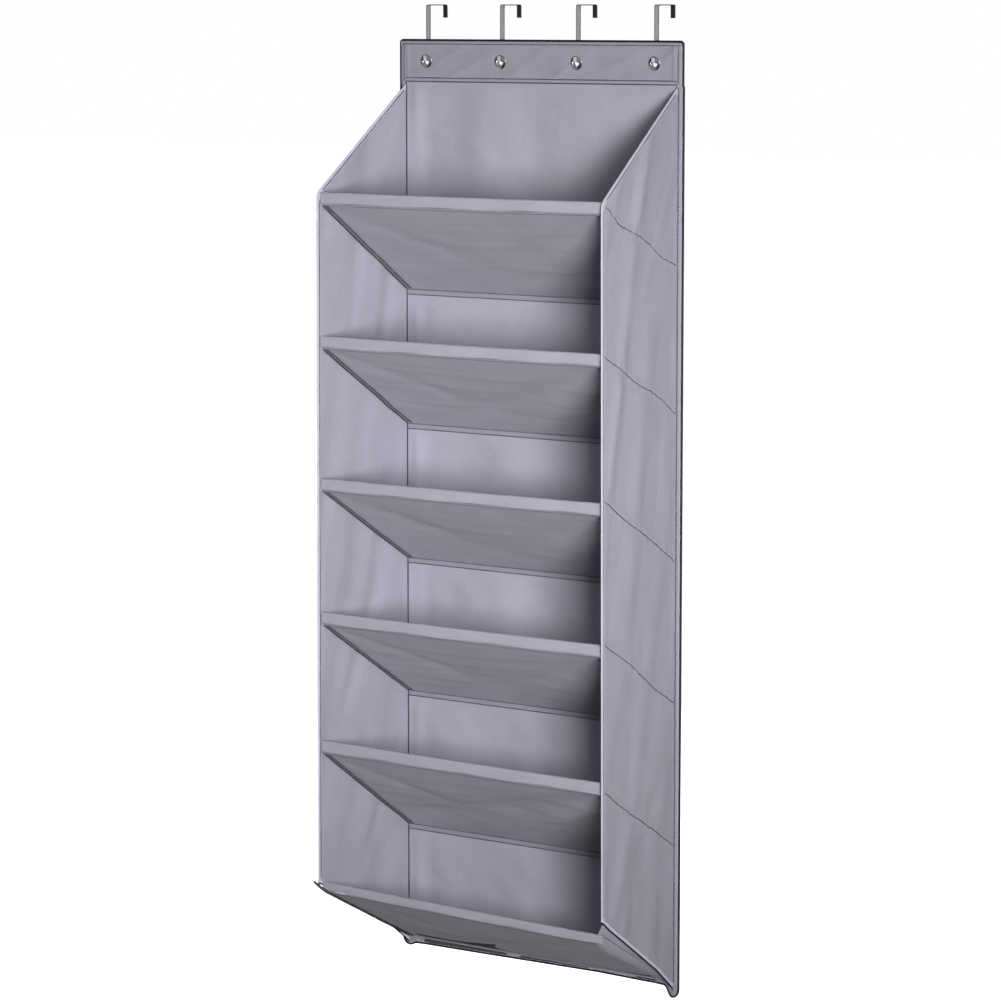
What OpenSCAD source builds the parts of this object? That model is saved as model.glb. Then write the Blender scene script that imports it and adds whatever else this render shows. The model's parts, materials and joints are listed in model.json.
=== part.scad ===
// Over-the-door shoe organizer: six tilted shelves between two fabric gussets,
// sewn to a back panel that hangs from a header band on four steel door hooks.
// +X runs to the right, -Y towards the room, +Y towards the door, +Z up.
// The origin is the middle of the hooks' seat on the top edge of the door.

/* [Panel] */
// Overall width of the header and the back panel
panel_w = 560; // [480:5:600]
// Distance from the back panel's rear face to the front edge of the shelves
depth = 220; // [200:5:230]
// Thickness of the back panel
panel_t = 2; // [1.6:0.1:2.4]
// Outside distance between the two side gussets
gusset_w = 550; // [470:5:590]
// Thickness of a side gusset
gusset_t = 1.4; // [1:0.1:1.8]

/* [Shelves] */
// Number of shelves
shelves = 6; // [6:1:6]
// Vertical distance from one shelf to the next
shelf_pitch = 227; // [220:1:260]
// How far a shelf falls from its front edge to its rear seam
shelf_drop = 145; // [110:1:160]
// Thickness of a covered shelf
shelf_t = 5; // [4.6:0.1:6]
// Thickness of the stiff board inside a shelf
board_t = 3; // [2:0.1:3.2]
// Height of the upright lip at the front of a shelf
lip_h = 20; // [16:1:26]
// Thickness of the lip
lip_t = 7; // [6.6:0.1:9]
// Diameter of the steel rod inside a lip
rod_d = 5; // [4:0.1:5.2]
// Free gap between a shelf's end and the gusset beside it
end_gap = 1.2; // [1.1:0.1:3]

/* [Header] */
// Height of the header band
header_h = 70; // [66:1:90]
// Thickness of the header band
header_t = 3.6; // [3.2:0.1:4.4]
// Distance from the header's top edge to the top front corner of the gussets
gusset_fall = 245; // [230:1:270]
// Thickness of the stiffener inside the header
stiffener_t = 2; // [1.2:0.1:2.2]
// Height of the stiffener inside the header
stiffener_h = 54; // [40:1:58]

/* [Grommets] */
// Distance from the header's top edge to the grommet centres
grommet_fall = 36; // [32:1:38]
// Spacing of the grommets and hooks
hook_pitch = 150; // [130:5:150]
// Outside diameter of a grommet
grommet_d = 23; // [19:0.5:24]
// Diameter of the hole through a grommet
grommet_bore = 11; // [10.8:0.1:12]
// Thickness of the grommet's barrel wall
barrel_t = 0.8; // [0.6:0.1:1]

/* [Hooks] */
// Thickest door edge that the hooks close over
door_t = 45; // [35:1:50]
// Width of the hook strip
strip_w = 8.5; // [7:0.1:8.6]
// Thickness of the hook strip
strip_t = 1.6; // [1.2:0.1:1.8]
// Length of the hook's lip behind the door
hook_lip = 20; // [15:1:30]
// Height of the hook's seat above the header's top edge
hook_rise = 55; // [40:1:70]
// How far the hook's tip turns up in front of the grommet
tip_h = 8; // [6:0.5:9]
// Inside radius of the hook's bends
bend_r = 2.2; // [2:0.1:2.4]

/* [Bindings] */
// Width of the tape that binds the fabric edges
tape_w = 12; // [8:1:14]
// Thickness of the binding tape
tape_t = 0.7; // [0.5:0.1:0.8]
// Height of the seam strip under the rear edge of a shelf
hem_h = 11; // [8:1:14]

/* [Hidden] */
$fn = 64;

fabric_color = "#9a99a3";
dark_fabric_color = "#6f6e78";
tape_color = "#82818c";
steel_color = "#d8d8da";
board_color = "#3c3c40";

eps = 0.01;
fit_gap = 0.3;
washer_t = 0.8;
washer_land = 3.7;
roll_t = 0.4;
roll_w = 0.9;
flange_h = 1.6;
tip_gap = 0.6;
seat_offset = 1.4;
seam_r = shelf_t / 2;

// Depth positions: the header stands clear of the hooks' stems by the washers.
stem_front_y = -door_t / 2 - strip_t;
back_y = stem_front_y - fit_gap - roll_t - washer_t;
panel_front_y = back_y - panel_t;
header_front_y = back_y - header_t;
front_y = back_y - depth;
pivot_y = panel_front_y - tape_t - 0.8 - seam_r;

// Heights, measured from the hooks' seat.
header_top_z = -hook_rise;
header_low_z = header_top_z - header_h;
grommet_z = header_top_z - grommet_fall;
run_z = grommet_z + seat_offset;
swing_z = header_low_z - fit_gap - panel_t / 2;
front_top_z = header_top_z - gusset_fall;
function seam_z(k) = front_top_z - shelf_drop - (k - 1) * shelf_pitch;
bottom_z = seam_z(shelves) - 9;
gusset_low_front_z = seam_z(shelves) + shelf_drop - 4;

// Shelf geometry, seen from the end, with the rear seam at the middle of its roll.
shelf_run = pivot_y - front_y;
shelf_len = norm([shelf_run, shelf_drop]);
tilt = atan2(shelf_drop, shelf_run);
shelf_half_w = gusset_w / 2 - gusset_t - end_gap;
board_start = 8;
board_len = shelf_len - board_start - 16;
board_half_w = shelf_half_w - 4;

// Where a grommet or hook stands across the header.
function hook_x(k) = (k - 2.5) * hook_pitch;

// Turns a drawing made in Y and Z into a solid that runs along X.
module along_x(width) {
    rotate([90, 0, 90]) linear_extrude(width, center = true) children();
}

// A ring sector of a quarter turn; side_y and side_z choose the quarter.
module quarter_ring(inner_r, outer_r, side_y, side_z) {
    intersection() {
        difference() {
            circle(outer_r);
            circle(inner_r);
        }
        translate([side_y > 0 ? 0 : -outer_r, side_z > 0 ? 0 : -outer_r])
            square(outer_r);
    }
}

// The outline of a hook, seen from the end of the door.
module hook_outline() {
    outer_r = bend_r + strip_t;
    half_door = door_t / 2;
    tip_back_y = header_front_y - flange_h - tip_gap;
    bend_z = run_z + strip_t / 2 + bend_r;
    // lip behind the door
    translate([half_door, -hook_lip]) square([strip_t, hook_lip - bend_r]);
    translate([half_door - bend_r, -bend_r]) quarter_ring(bend_r, outer_r, 1, 1);
    // bridge over the door
    translate([-half_door + bend_r, 0]) square([door_t - 2 * bend_r, strip_t]);
    translate([-half_door + bend_r, -bend_r]) quarter_ring(bend_r, outer_r, -1, 1);
    // stem behind the header
    translate([stem_front_y, bend_z]) square([strip_t, -bend_r - bend_z]);
    translate([stem_front_y - bend_r, bend_z]) quarter_ring(bend_r, outer_r, 1, -1);
    // run through the grommet
    translate([tip_back_y + bend_r, run_z - strip_t / 2])
        square([stem_front_y - tip_back_y - 2 * bend_r, strip_t]);
    translate([tip_back_y + bend_r, bend_z]) quarter_ring(bend_r, outer_r, -1, -1);
    // tip in front of the grommet
    translate([tip_back_y - strip_t, bend_z]) square([strip_t, run_z + tip_h - bend_z]);
}

module hook(k) {
    color(steel_color) translate([hook_x(k), 0, 0]) along_x(strip_w) hook_outline();
}

// Places a drawing of radius and height so that its height points to the room.
module at_grommet(k, y) {
    translate([hook_x(k), y, grommet_z]) rotate([90, 0, 0]) children();
}

// Front half of a grommet: a domed flange, a barrel and the rolled rear edge.
module grommet(k) {
    inner = grommet_bore / 2;
    outer = grommet_d / 2;
    half = (outer - inner) / 2;
    dome_r = (half * half + flange_h * flange_h) / (2 * flange_h);
    barrel_len = header_t + washer_t;
    color(steel_color) at_grommet(k, header_front_y) rotate_extrude() {
        intersection() {
            translate([inner + half, flange_h - dome_r]) circle(dome_r);
            translate([inner, 0]) square([outer - inner, flange_h]);
        }
        translate([inner, -barrel_len]) square([barrel_t, barrel_len + eps]);
        translate([inner, -barrel_len - roll_t]) square([barrel_t + roll_w, roll_t]);
    }
}

module grommet_washers() {
    inner = grommet_bore / 2 + barrel_t;
    color(steel_color) for (k = [1:4]) at_grommet(k, back_y + washer_t)
        difference() {
            cylinder(h = washer_t, r = inner + washer_land);
            translate([0, 0, -eps]) cylinder(h = washer_t + 2 * eps, r = inner);
        }
}

// The row of holes that the grommet barrels pass through.
module grommet_holes() {
    for (k = [1:4]) at_grommet(k, back_y + eps)
        cylinder(h = header_t + 2 * eps, r = grommet_bore / 2 + barrel_t);
}

// A fabric sleeve, open at both ends for the stiffener.
module header_band() {
    side_w = panel_w / 2 - tape_t;
    color(fabric_color) difference() {
        translate([-side_w, header_front_y, header_low_z])
            cube([2 * side_w, header_t, header_h - tape_t]);
        translate([-side_w - eps, back_y - (header_t + stiffener_t) / 2, stiffener_low_z()])
            cube([2 * side_w + 2 * eps, stiffener_t, stiffener_h]);
        grommet_holes();
    }
}

function stiffener_low_z() = header_low_z + (header_h - stiffener_h) / 2;

module header_stiffener() {
    half_w = panel_w / 2 - tape_w;
    color(board_color) difference() {
        translate([-half_w, back_y - (header_t + stiffener_t) / 2, stiffener_low_z()])
            cube([2 * half_w, stiffener_t, stiffener_h]);
        grommet_holes();
    }
}

// Tape folded over the header's top edge.
module header_top_hem() {
    hem = 8;
    color(tape_color) translate([0, 0, header_top_z - hem]) difference() {
        translate([-panel_w / 2, header_front_y - tape_t, 0])
            cube([panel_w, header_t + 2 * tape_t, hem]);
        translate([-panel_w / 2 - eps, header_front_y, -eps])
            cube([panel_w + 2 * eps, header_t, hem - tape_t + eps]);
    }
}

// Flat tape sewn along the header's lower edge, above the first pocket.
module header_trim() {
    trim_h = 7;
    half_w = panel_w / 2 - tape_w;
    color(tape_color) translate([-half_w, header_front_y - tape_t, header_low_z + 1])
        cube([2 * half_w, tape_t, trim_h]);
}

// Tape folded round an upright edge of a layer that lies in X and Z.
module upright_tape(side, y_front, thick, low_z, high_z) {
    mirror([side < 0 ? 1 : 0, 0, 0]) translate([0, 0, low_z]) difference() {
        translate([panel_w / 2 - tape_w, y_front - tape_t, 0])
            cube([tape_w, thick + 2 * tape_t, high_z - low_z]);
        translate([panel_w / 2 - tape_w - eps, y_front, -eps])
            cube([tape_w - tape_t + eps, thick, high_z - low_z + 2 * eps]);
    }
}

module header_binding(side) {
    hem = 8;
    color(tape_color)
        upright_tape(side, header_front_y, header_t, header_low_z, header_top_z - hem);
}

module side_binding(side) {
    color(tape_color)
        upright_tape(side, panel_front_y, panel_t, bottom_z, swing_z - 0.3);
}

// The back panel; its top edge is a roll that turns on the seam under the header.
module back_panel() {
    half_w = panel_w / 2 - tape_t;
    color(fabric_color) {
        translate([-half_w, panel_front_y, bottom_z + tape_t])
            cube([2 * half_w, panel_t, swing_z - bottom_z - tape_t]);
        translate([-half_w, back_y - panel_t / 2, swing_z])
            rotate([0, 90, 0]) cylinder(h = 2 * half_w, r = panel_t / 2);
    }
}

// Tape folded round the back panel's bottom edge, between the side bindings.
module bottom_binding() {
    half_w = panel_w / 2 - tape_w;
    hem = 9;
    color(tape_color) translate([-half_w, 0, bottom_z]) difference() {
        translate([0, panel_front_y - tape_t, 0])
            cube([2 * half_w, panel_t + 2 * tape_t, hem]);
        translate([-eps, panel_front_y, tape_t])
            cube([2 * half_w + 2 * eps, panel_t, hem]);
    }
}

// The outline of a gusset in Y and Z.
function gusset_rear_top() = [panel_front_y - tape_t, swing_z - 2];
function gusset_front_top() = [front_y, front_top_z];
function gusset_front_low() = [front_y, gusset_low_front_z];
function gusset_rear_low() = [panel_front_y - tape_t, bottom_z + 2];

module side_gusset(side) {
    color(fabric_color) translate([side * (gusset_w / 2 - gusset_t / 2), 0, 0])
        along_x(gusset_t) polygon([
            gusset_rear_top(), gusset_front_top(), gusset_front_low(), gusset_rear_low()
        ]);
}

// Tape on both faces of a gusset, from one corner to another, inside the edge.
module gusset_tape(side, from, to, inward) {
    way = (to - from) / norm(to - from);
    across = inward * [-way[1], way[0]];
    width = tape_w * 0.6;
    outline = [from, to, to + across * width, from + across * width];
    for (face = [0, 1])
        translate([side * (gusset_w / 2 - face * gusset_t + (0.5 - face) * tape_t), 0, 0])
            along_x(tape_t) polygon(outline);
}

module gusset_top_binding(side) {
    way = gusset_front_top() - gusset_rear_top();
    start = gusset_rear_top() + way * 0.02;
    end = gusset_front_top() - way * 0.06;
    color(tape_color) gusset_tape(side, start, end, 1);
}

module gusset_lower_binding(side) {
    way = gusset_rear_low() - gusset_front_low();
    start = gusset_front_low() + way * 0.06;
    end = gusset_rear_low() - way * 0.06;
    color(tape_color) gusset_tape(side, start, end, 1);
}

// Tape folded round the gusset's upright front edge.
module gusset_front_binding(side) {
    low = gusset_front_low()[1] + 2;
    high = gusset_front_top()[1];
    width = tape_w * 0.6;
    color(tape_color)
        translate([side * (gusset_w / 2 - gusset_t / 2), front_y, low]) difference() {
            translate([-gusset_t / 2 - tape_t, -tape_t, 0])
                cube([gusset_t + 2 * tape_t, width + tape_t, high - low - 8]);
            translate([-gusset_t / 2, 0, -eps])
                cube([gusset_t, width + eps, high - low]);
        }
}

// Flat strip that covers the seam under the rear edge of a shelf.
module rear_hem(k) {
    half_w = panel_w / 2 - tape_w;
    color(tape_color)
        translate([-half_w, panel_front_y - tape_t, seam_z(k) - hem_h])
            cube([2 * half_w, tape_t, hem_h]);
}

// Moves a drawing made along a shelf, from its rear seam forwards, into place.
module at_shelf(k) {
    translate([0, pivot_y, seam_z(k)]) rotate([-tilt, 0, 0]) children();
}

// Centre of the rod, from the rear seam, in the shelf's own tilted Y and Z.
function lip_centre() = let (y = -shelf_run + lip_t / 2, z = shelf_drop - lip_t / 2)
    [y * cos(tilt) - z * sin(tilt), y * sin(tilt) + z * cos(tilt)];

// The sewn sleeve of a shelf, seen from its end: plate, rear roll and upright lip.
module cover_outline() {
    difference() {
        union() {
            circle(seam_r);
            translate([lip_centre()[0], -seam_r]) square([-lip_centre()[0], shelf_t]);
            translate(lip_centre()) rotate(tilt) {
                circle(lip_t / 2);
                translate([-lip_t / 2, lip_t - lip_h]) square([lip_t, lip_h - lip_t]);
                translate([0, lip_t - lip_h]) circle(lip_t / 2);
            }
        }
        translate([-board_start - board_len, -board_t / 2]) square([board_len, board_t]);
        translate(lip_centre()) circle(rod_d / 2);
    }
}

module shelf_cover(k) {
    color(dark_fabric_color) at_shelf(k) along_x(2 * shelf_half_w) cover_outline();
}

module shelf_board(k) {
    color(board_color) at_shelf(k)
        translate([-board_half_w, -board_start - board_len, -board_t / 2])
            cube([2 * board_half_w, board_len, board_t]);
}

module shelf_rod(k) {
    color(steel_color) at_shelf(k)
        translate([-board_half_w, lip_centre()[0], lip_centre()[1]])
            rotate([0, 90, 0]) cylinder(h = 2 * board_half_w, r = rod_d / 2);
}

// Bound seam allowance along both ends, under the shelf.
module shelf_end_tapes(k) {
    length = board_len - 6;
    color(tape_color) at_shelf(k) for (side = [-1, 1])
        translate([side * (shelf_half_w - tape_w / 2) - tape_w / 2,
                   -board_start - length, -seam_r - 2 * tape_t])
            cube([tape_w, length, 2 * tape_t]);
}

hook(1);  // hook_1
hook(2);  // hook_2
hook(3);  // hook_3
hook(4);  // hook_4
grommet(1);  // grommet_1
grommet(2);  // grommet_2
grommet(3);  // grommet_3
grommet(4);  // grommet_4
grommet_washers();
header_band();
header_stiffener();
header_top_hem();
header_trim();
header_binding(-1);  // header_binding_left
header_binding(1);  // header_binding_right
back_panel();
side_binding(-1);  // side_binding_left
side_binding(1);  // side_binding_right
bottom_binding();
side_gusset(-1);  // side_gusset_left
side_gusset(1);  // side_gusset_right
gusset_top_binding(-1);  // gusset_top_binding_left
gusset_top_binding(1);  // gusset_top_binding_right
gusset_lower_binding(-1);  // gusset_lower_binding_left
gusset_lower_binding(1);  // gusset_lower_binding_right
gusset_front_binding(-1);  // gusset_front_binding_left
gusset_front_binding(1);  // gusset_front_binding_right
for (k = [1:shelves - 1])
    rear_hem(k);
for (k = [1:shelves]) {
    shelf_cover(k);
    shelf_board(k);
    shelf_rod(k);
    shelf_end_tapes(k);
}
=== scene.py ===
"""Looks of an over-door shoe organizer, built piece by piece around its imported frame."""

import json
import math

import bpy
import numpy as np
from bpy.props import FloatProperty, FloatVectorProperty, IntProperty, PointerProperty
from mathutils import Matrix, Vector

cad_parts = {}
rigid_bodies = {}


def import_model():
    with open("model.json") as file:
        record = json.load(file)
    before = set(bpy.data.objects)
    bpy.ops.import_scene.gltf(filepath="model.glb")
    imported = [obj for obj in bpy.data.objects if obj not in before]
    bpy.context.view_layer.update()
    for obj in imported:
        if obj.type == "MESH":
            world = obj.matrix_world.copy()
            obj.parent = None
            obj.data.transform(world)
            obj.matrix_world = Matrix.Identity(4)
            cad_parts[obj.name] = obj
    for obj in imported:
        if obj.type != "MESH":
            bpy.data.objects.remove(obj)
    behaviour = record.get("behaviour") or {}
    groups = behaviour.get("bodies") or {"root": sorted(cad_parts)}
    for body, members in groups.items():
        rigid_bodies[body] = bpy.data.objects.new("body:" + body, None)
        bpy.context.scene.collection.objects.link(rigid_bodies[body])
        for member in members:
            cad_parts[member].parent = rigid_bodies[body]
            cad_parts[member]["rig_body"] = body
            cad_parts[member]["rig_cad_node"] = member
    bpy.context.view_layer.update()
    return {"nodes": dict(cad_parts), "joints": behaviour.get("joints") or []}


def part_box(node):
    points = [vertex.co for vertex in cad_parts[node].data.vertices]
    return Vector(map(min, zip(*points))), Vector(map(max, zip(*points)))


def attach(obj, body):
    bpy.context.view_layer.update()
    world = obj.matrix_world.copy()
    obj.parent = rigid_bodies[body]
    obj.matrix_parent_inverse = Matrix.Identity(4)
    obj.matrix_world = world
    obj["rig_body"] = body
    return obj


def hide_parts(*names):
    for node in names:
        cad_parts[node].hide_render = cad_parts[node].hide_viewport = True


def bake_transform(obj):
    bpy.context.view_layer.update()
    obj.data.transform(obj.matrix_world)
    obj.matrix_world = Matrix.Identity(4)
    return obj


bl_info = {
    "name": "Over-Door Shoe Organizer",
    "version": (1, 0, 0),
    "blender": (4, 5, 0),
    "location": "3D View > Sidebar > Shoe Organizer",
    "description": "Sews a fabric shoe organizer round its packed frame",
    "category": "Add Mesh",
}

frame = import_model()

MM = 0.001
FORWARD = (0, -1, 0)
SHELVES = 6
SIDES = {"left": -1, "right": 1}
JOINTS = {joint["name"]: joint for joint in frame["joints"]}

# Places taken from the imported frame, in metres.
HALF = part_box("header_top_hem")[1].x
HEADER_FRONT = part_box("header_band")[0].y
HEADER_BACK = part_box("header_band")[1].y
HEADER_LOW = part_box("header_band")[0].z
HEADER_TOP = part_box("header_top_hem")[1].z
PANEL_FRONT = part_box("back_panel")[0].y
PANEL_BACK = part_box("back_panel")[1].y
PANEL_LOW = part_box("side_binding_right")[0].z
PANEL_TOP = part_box("side_binding_right")[1].z
LIP_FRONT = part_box("shelf_1_cover")[0].y
GUSSET_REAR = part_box("side_gusset_right")[1].y
GUSSET_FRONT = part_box("side_gusset_right")[0].y
GUSSET_TOP_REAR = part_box("side_gusset_right")[1].z
GUSSET_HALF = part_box("side_gusset_right")[1].x
CORNER_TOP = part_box("gusset_front_binding_right")[1].z + 8 * MM
GROMMETS = [
    (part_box(f"grommet_{k}")[0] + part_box(f"grommet_{k}")[1]) / 2 for k in range(1, 5)
]
SEAMS = {k: JOINTS[f"shelf_{k}_fold"]["pos_m"] for k in range(1, SHELVES + 1)}
SHELF_TOP = {k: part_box(f"shelf_{k}_cover")[1].z for k in SEAMS}

# How the soft shelves hang, in millimetres: the rise of each lip at its left and right ends, the
# rise of the shelf at the panel, and how far under that the lower cloth is sewn on.
LIP_RISE = {
    1: (2, 2.2), 2: (-3.7, -4.2), 3: (-9.2, -8.2),
    4: (-2.5, -2.9), 5: (11.2, 6.7), 6: (1.5, -9.2),
}
REAR_RISE = {k: 18 if k == SHELVES else 0 for k in SEAMS}
REAR_DROP = {1: 21, 2: 18, 3: 17, 4: 15.5, 5: 17, 6: 2}
LIP_FALL = {k: 15 if k == SHELVES else 19 for k in SEAMS}


def linear(code):
    """A colour written as six hex digits, as the linear values that shaders use."""
    parts = [int(code[i : i + 2], 16) / 255 for i in (0, 2, 4)]
    return tuple(
        c / 12.92 if c <= 0.04045 else ((c + 0.055) / 1.055) ** 2.4 for c in parts
    )


def length_setting(name, description, default):
    return FloatProperty(
        name=name, description=description, default=default, min=0.0, unit="LENGTH"
    )


def colour_setting(name, description, code):
    return FloatVectorProperty(
        name=name,
        description=description,
        default=linear(code),
        min=0.0,
        max=1.0,
        size=3,
        subtype="COLOR",
    )


# ---------------------------------------------------------------- settings


class ClothSettings(bpy.types.PropertyGroup):
    """Sizes of the cloth, the tapes and their folds."""

    cloth: length_setting("Cloth", "Thickness of one layer of cloth", 0.6 * MM)
    panel: length_setting("Back panel", "Thickness of the back panel", 1.8 * MM)
    tape: length_setting("Tape", "Thickness of the binding tape", 0.6 * MM)
    side_tape: length_setting(
        "Side tape", "Width of the tape along the panel's sides", 9 * MM
    )
    edge_tape: length_setting(
        "Edge tape", "Width of the tape round a gusset's free edges", 7 * MM
    )
    piping: length_setting("Piping", "Radius of the piping round the panel", 1.8 * MM)
    fold: length_setting("Folds", "Depth of the soft folds in a gusset", 3.6 * MM)
    crease: length_setting("Creases", "Depth of the creases under a shelf", 2.8 * MM)
    reach: length_setting(
        "Reach", "How far the gussets stand in front of the shelf lips", 6.4 * MM
    )
    flare: length_setting(
        "Flare", "How far the gussets spread at their front edges", 3.4 * MM
    )
    taper: length_setting(
        "Taper", "How much closer together the gussets are at the panel", 6.6 * MM
    )


class ThreadSettings(bpy.types.PropertyGroup):
    """Sizes of the stitches."""

    stitch: length_setting("Stitch", "Length of one stitch", 3.4 * MM)
    pitch: length_setting("Pitch", "Distance from one stitch to the next", 5 * MM)
    thread: length_setting("Thread", "Width of the thread", 1.1 * MM)


class ColourSettings(bpy.types.PropertyGroup):
    """Colours of the cloth, the thread and the hard parts."""

    # Painted light and shade: the decks are painted lighter than the shelf cloth and the header
    # darker, and the gussets darker than the panel, for the light each piece gets.
    panel: colour_setting("Back panel", "Cloth of the back panel", "a4a3b0")
    gusset: colour_setting("Gussets", "Cloth of the side gussets", "9998a5")
    header: colour_setting("Header", "Cloth of the header band", "9897a3")
    shelf: colour_setting("Shelves", "Cloth under the shelves", "9f9eab")
    deck: colour_setting("Decks", "Cloth over the shelves and their lips", "a7a6b3")
    tape: colour_setting("Tape", "Binding tape", "9998a5")
    piping: colour_setting("Piping", "Piping round the panel", "15152a")
    thread: colour_setting("Thread", "Dark sewing thread", "1a1a28")
    board: colour_setting("Board", "Stiff board inside the shelves", "404044")
    floor: colour_setting("Floor", "Plain pale floor", "f4f4f4")


class OrganizerSettings(bpy.types.PropertyGroup):
    """All that a user would change."""

    cloth: PointerProperty(type=ClothSettings, name="Cloth", description="Cloth sizes")
    thread: PointerProperty(
        type=ThreadSettings, name="Thread", description="Stitch sizes"
    )
    colours: PointerProperty(
        type=ColourSettings, name="Colours", description="Colours of every finish"
    )
    seed: IntProperty(
        name="Seed", description="Chooses where the soft folds fall", default=7, min=0
    )


def chosen():
    return bpy.context.scene.shoe_organizer


# ---------------------------------------------------------------- shading


class Wire:
    """A shader socket that takes part in sums."""

    def __init__(self, shader, socket):
        self.shader, self.socket = shader, socket

    def _math(self, operation, first, second):
        return self.shader.node(
            "ShaderNodeMath", {"operation": operation}, (first, second)
        )

    def __add__(self, other):
        return self._math("ADD", self, other)

    def __sub__(self, other):
        return self._math("SUBTRACT", self, other)

    def __rsub__(self, other):
        return self._math("SUBTRACT", other, self)

    def __mul__(self, other):
        return self._math("MULTIPLY", self, other)

    __radd__ = __add__
    __rmul__ = __mul__


class Shader:
    """One procedural material or world, built node by node."""

    def __init__(self, name, kind="materials"):
        self.owner = getattr(bpy.data, kind).new(name)
        self.owner.use_nodes = True
        self.tree = self.owner.node_tree
        self.tree.nodes.clear()

    def node(self, kind, settings=None, inputs=(), output=0):
        made = self.tree.nodes.new(kind)
        for key, value in (settings or {}).items():
            if key == "stops":
                while len(made.color_ramp.elements) < len(value):
                    made.color_ramp.elements.new(0.5)
                for element, (place, colour) in zip(made.color_ramp.elements, value):
                    element.position, element.color = place, colour
            else:
                setattr(made, key, value)
        pairs = inputs.items() if isinstance(inputs, dict) else enumerate(inputs)
        for key, value in pairs:
            if isinstance(value, Wire):
                self.tree.links.new(value.socket, made.inputs[key])
            else:
                made.inputs[key].default_value = value
        return Wire(self, made.outputs[output]) if made.outputs else None

    def place(self):
        """Where a point is on the piece, in metres."""
        return self.node("ShaderNodeTexCoord", output="Object")

    def cut(self):
        """Where a point is on the flat cut of a cloth, in metres."""
        return self.node("ShaderNodeUVMap", {"uv_map": "cut"})

    def noise(self, vector, size, detail=2.0, rough=0.5, stretch=(1, 1, 1)):
        """Soft noise from 0 to 1, with features of that size in metres."""
        scaled = self.node(
            "ShaderNodeMapping",
            inputs={"Vector": vector, "Scale": tuple(s / size for s in stretch)},
        )
        return self.node(
            "ShaderNodeTexNoise",
            inputs={
                "Vector": scaled,
                "Scale": 1.0,
                "Detail": detail,
                "Roughness": rough,
            },
        )

    def bands(self, vector, pitch, direction):
        """Ridges from 0 to 1 across that direction, one every pitch metres."""
        return self.node(
            "ShaderNodeTexWave",
            {"wave_type": "BANDS", "bands_direction": direction},
            {"Vector": vector, "Scale": math.pi / 10 / pitch},
            "Fac",
        )

    def mix(self, factor, first, second):
        return self.node(
            "ShaderNodeMix",
            {"data_type": "RGBA"},
            {0: factor, 6: (*first, 1.0) if isinstance(first, tuple) else first,
             7: (*second, 1.0) if isinstance(second, tuple) else second},
            2,
        )

    def axis(self, vector, name):
        return self.node("ShaderNodeSeparateXYZ", inputs={"Vector": vector}, output=name)

    def bump(self, height, distance, strength):
        inputs = {"Height": height, "Distance": distance, "Strength": strength}
        return self.node("ShaderNodeBump", inputs=inputs)

    def surface(self, **sockets):
        """Ends the material with a Principled surface; _ in a name stands for a space."""
        inputs = {key.replace("_", " "): value for key, value in sockets.items()}
        made = self.node("ShaderNodeBsdfPrincipled", inputs=inputs)
        self.node("ShaderNodeOutputMaterial", inputs={"Surface": made})
        return self.owner


def times(colour, factor):
    return tuple(min(1.0, c * factor) for c in colour)


def once(maker):
    """Makes each material the first time it is asked for."""
    made = {}

    def get(*arguments):
        if arguments not in made:
            made[arguments] = maker(*arguments)
        return made[arguments]

    return get


@once
def bonded_cloth(which):
    """Spun-bonded cloth: matt, faintly mottled, pressed all over with small dots."""
    colour = tuple(getattr(chosen().colours, which))
    s = Shader(f"{which}_bonded_cloth")
    cut = s.cut()
    patches = s.noise(cut, 90 * MM, 3.0)
    streaks = s.noise(cut, 7 * MM, 4.0, 0.65, (1.0, 0.35, 1.0))
    fibres = s.noise(cut, 1.6 * MM, 3.0, 0.7)
    dots = s.bands(cut, 1.5 * MM, "X") * s.bands(cut, 1.5 * MM, "Y")
    tone = patches * 0.42 + streaks * 0.36 + fibres * 0.3 + dots * -0.06
    base = s.mix(tone, times(colour, 0.74), times(colour, 1.26))
    height = fibres * 0.6 + dots * 0.4 + streaks * 0.8
    return s.surface(
        Base_Color=base,
        Roughness=0.98 - fibres * 0.22,
        Specular_IOR_Level=0.25,
        Sheen_Weight=0.12,
        Sheen_Roughness=0.6,
        Normal=s.bump(height, 0.35 * MM, 0.55),
    )


@once
def woven_cloth(which):
    """Plain-weave cloth: crossing threads, slubs along the weft, a soft sheen."""
    colour = tuple(getattr(chosen().colours, which))
    s = Shader(f"{which}_woven_cloth")
    cut = s.cut()
    warp, weft = s.bands(cut, 1.1 * MM, "X"), s.bands(cut, 1.1 * MM, "Y")
    weave = warp * weft + (1 - warp) * (1 - weft)
    slubs = s.noise(cut, 3 * MM, 3.0, 0.6, (0.18, 1.0, 1.0))
    ends = s.noise(cut, 3.5 * MM, 3.0, 0.6, (1.0, 0.12, 1.0))
    patches = s.noise(cut, 70 * MM, 3.0)
    tone = patches * 0.36 + slubs * 0.26 + ends * 0.24 + weave * 0.16
    base = s.mix(tone, times(colour, 0.68), times(colour, 1.32))
    return s.surface(
        Base_Color=base,
        Roughness=0.95 - weave * 0.15 - slubs * 0.1,
        Specular_IOR_Level=0.3,
        Sheen_Weight=0.15,
        Sheen_Roughness=0.5,
        Normal=s.bump(weave * 0.5 + slubs * 0.7 + ends * 0.5, 0.3 * MM, 0.6),
    )


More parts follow.
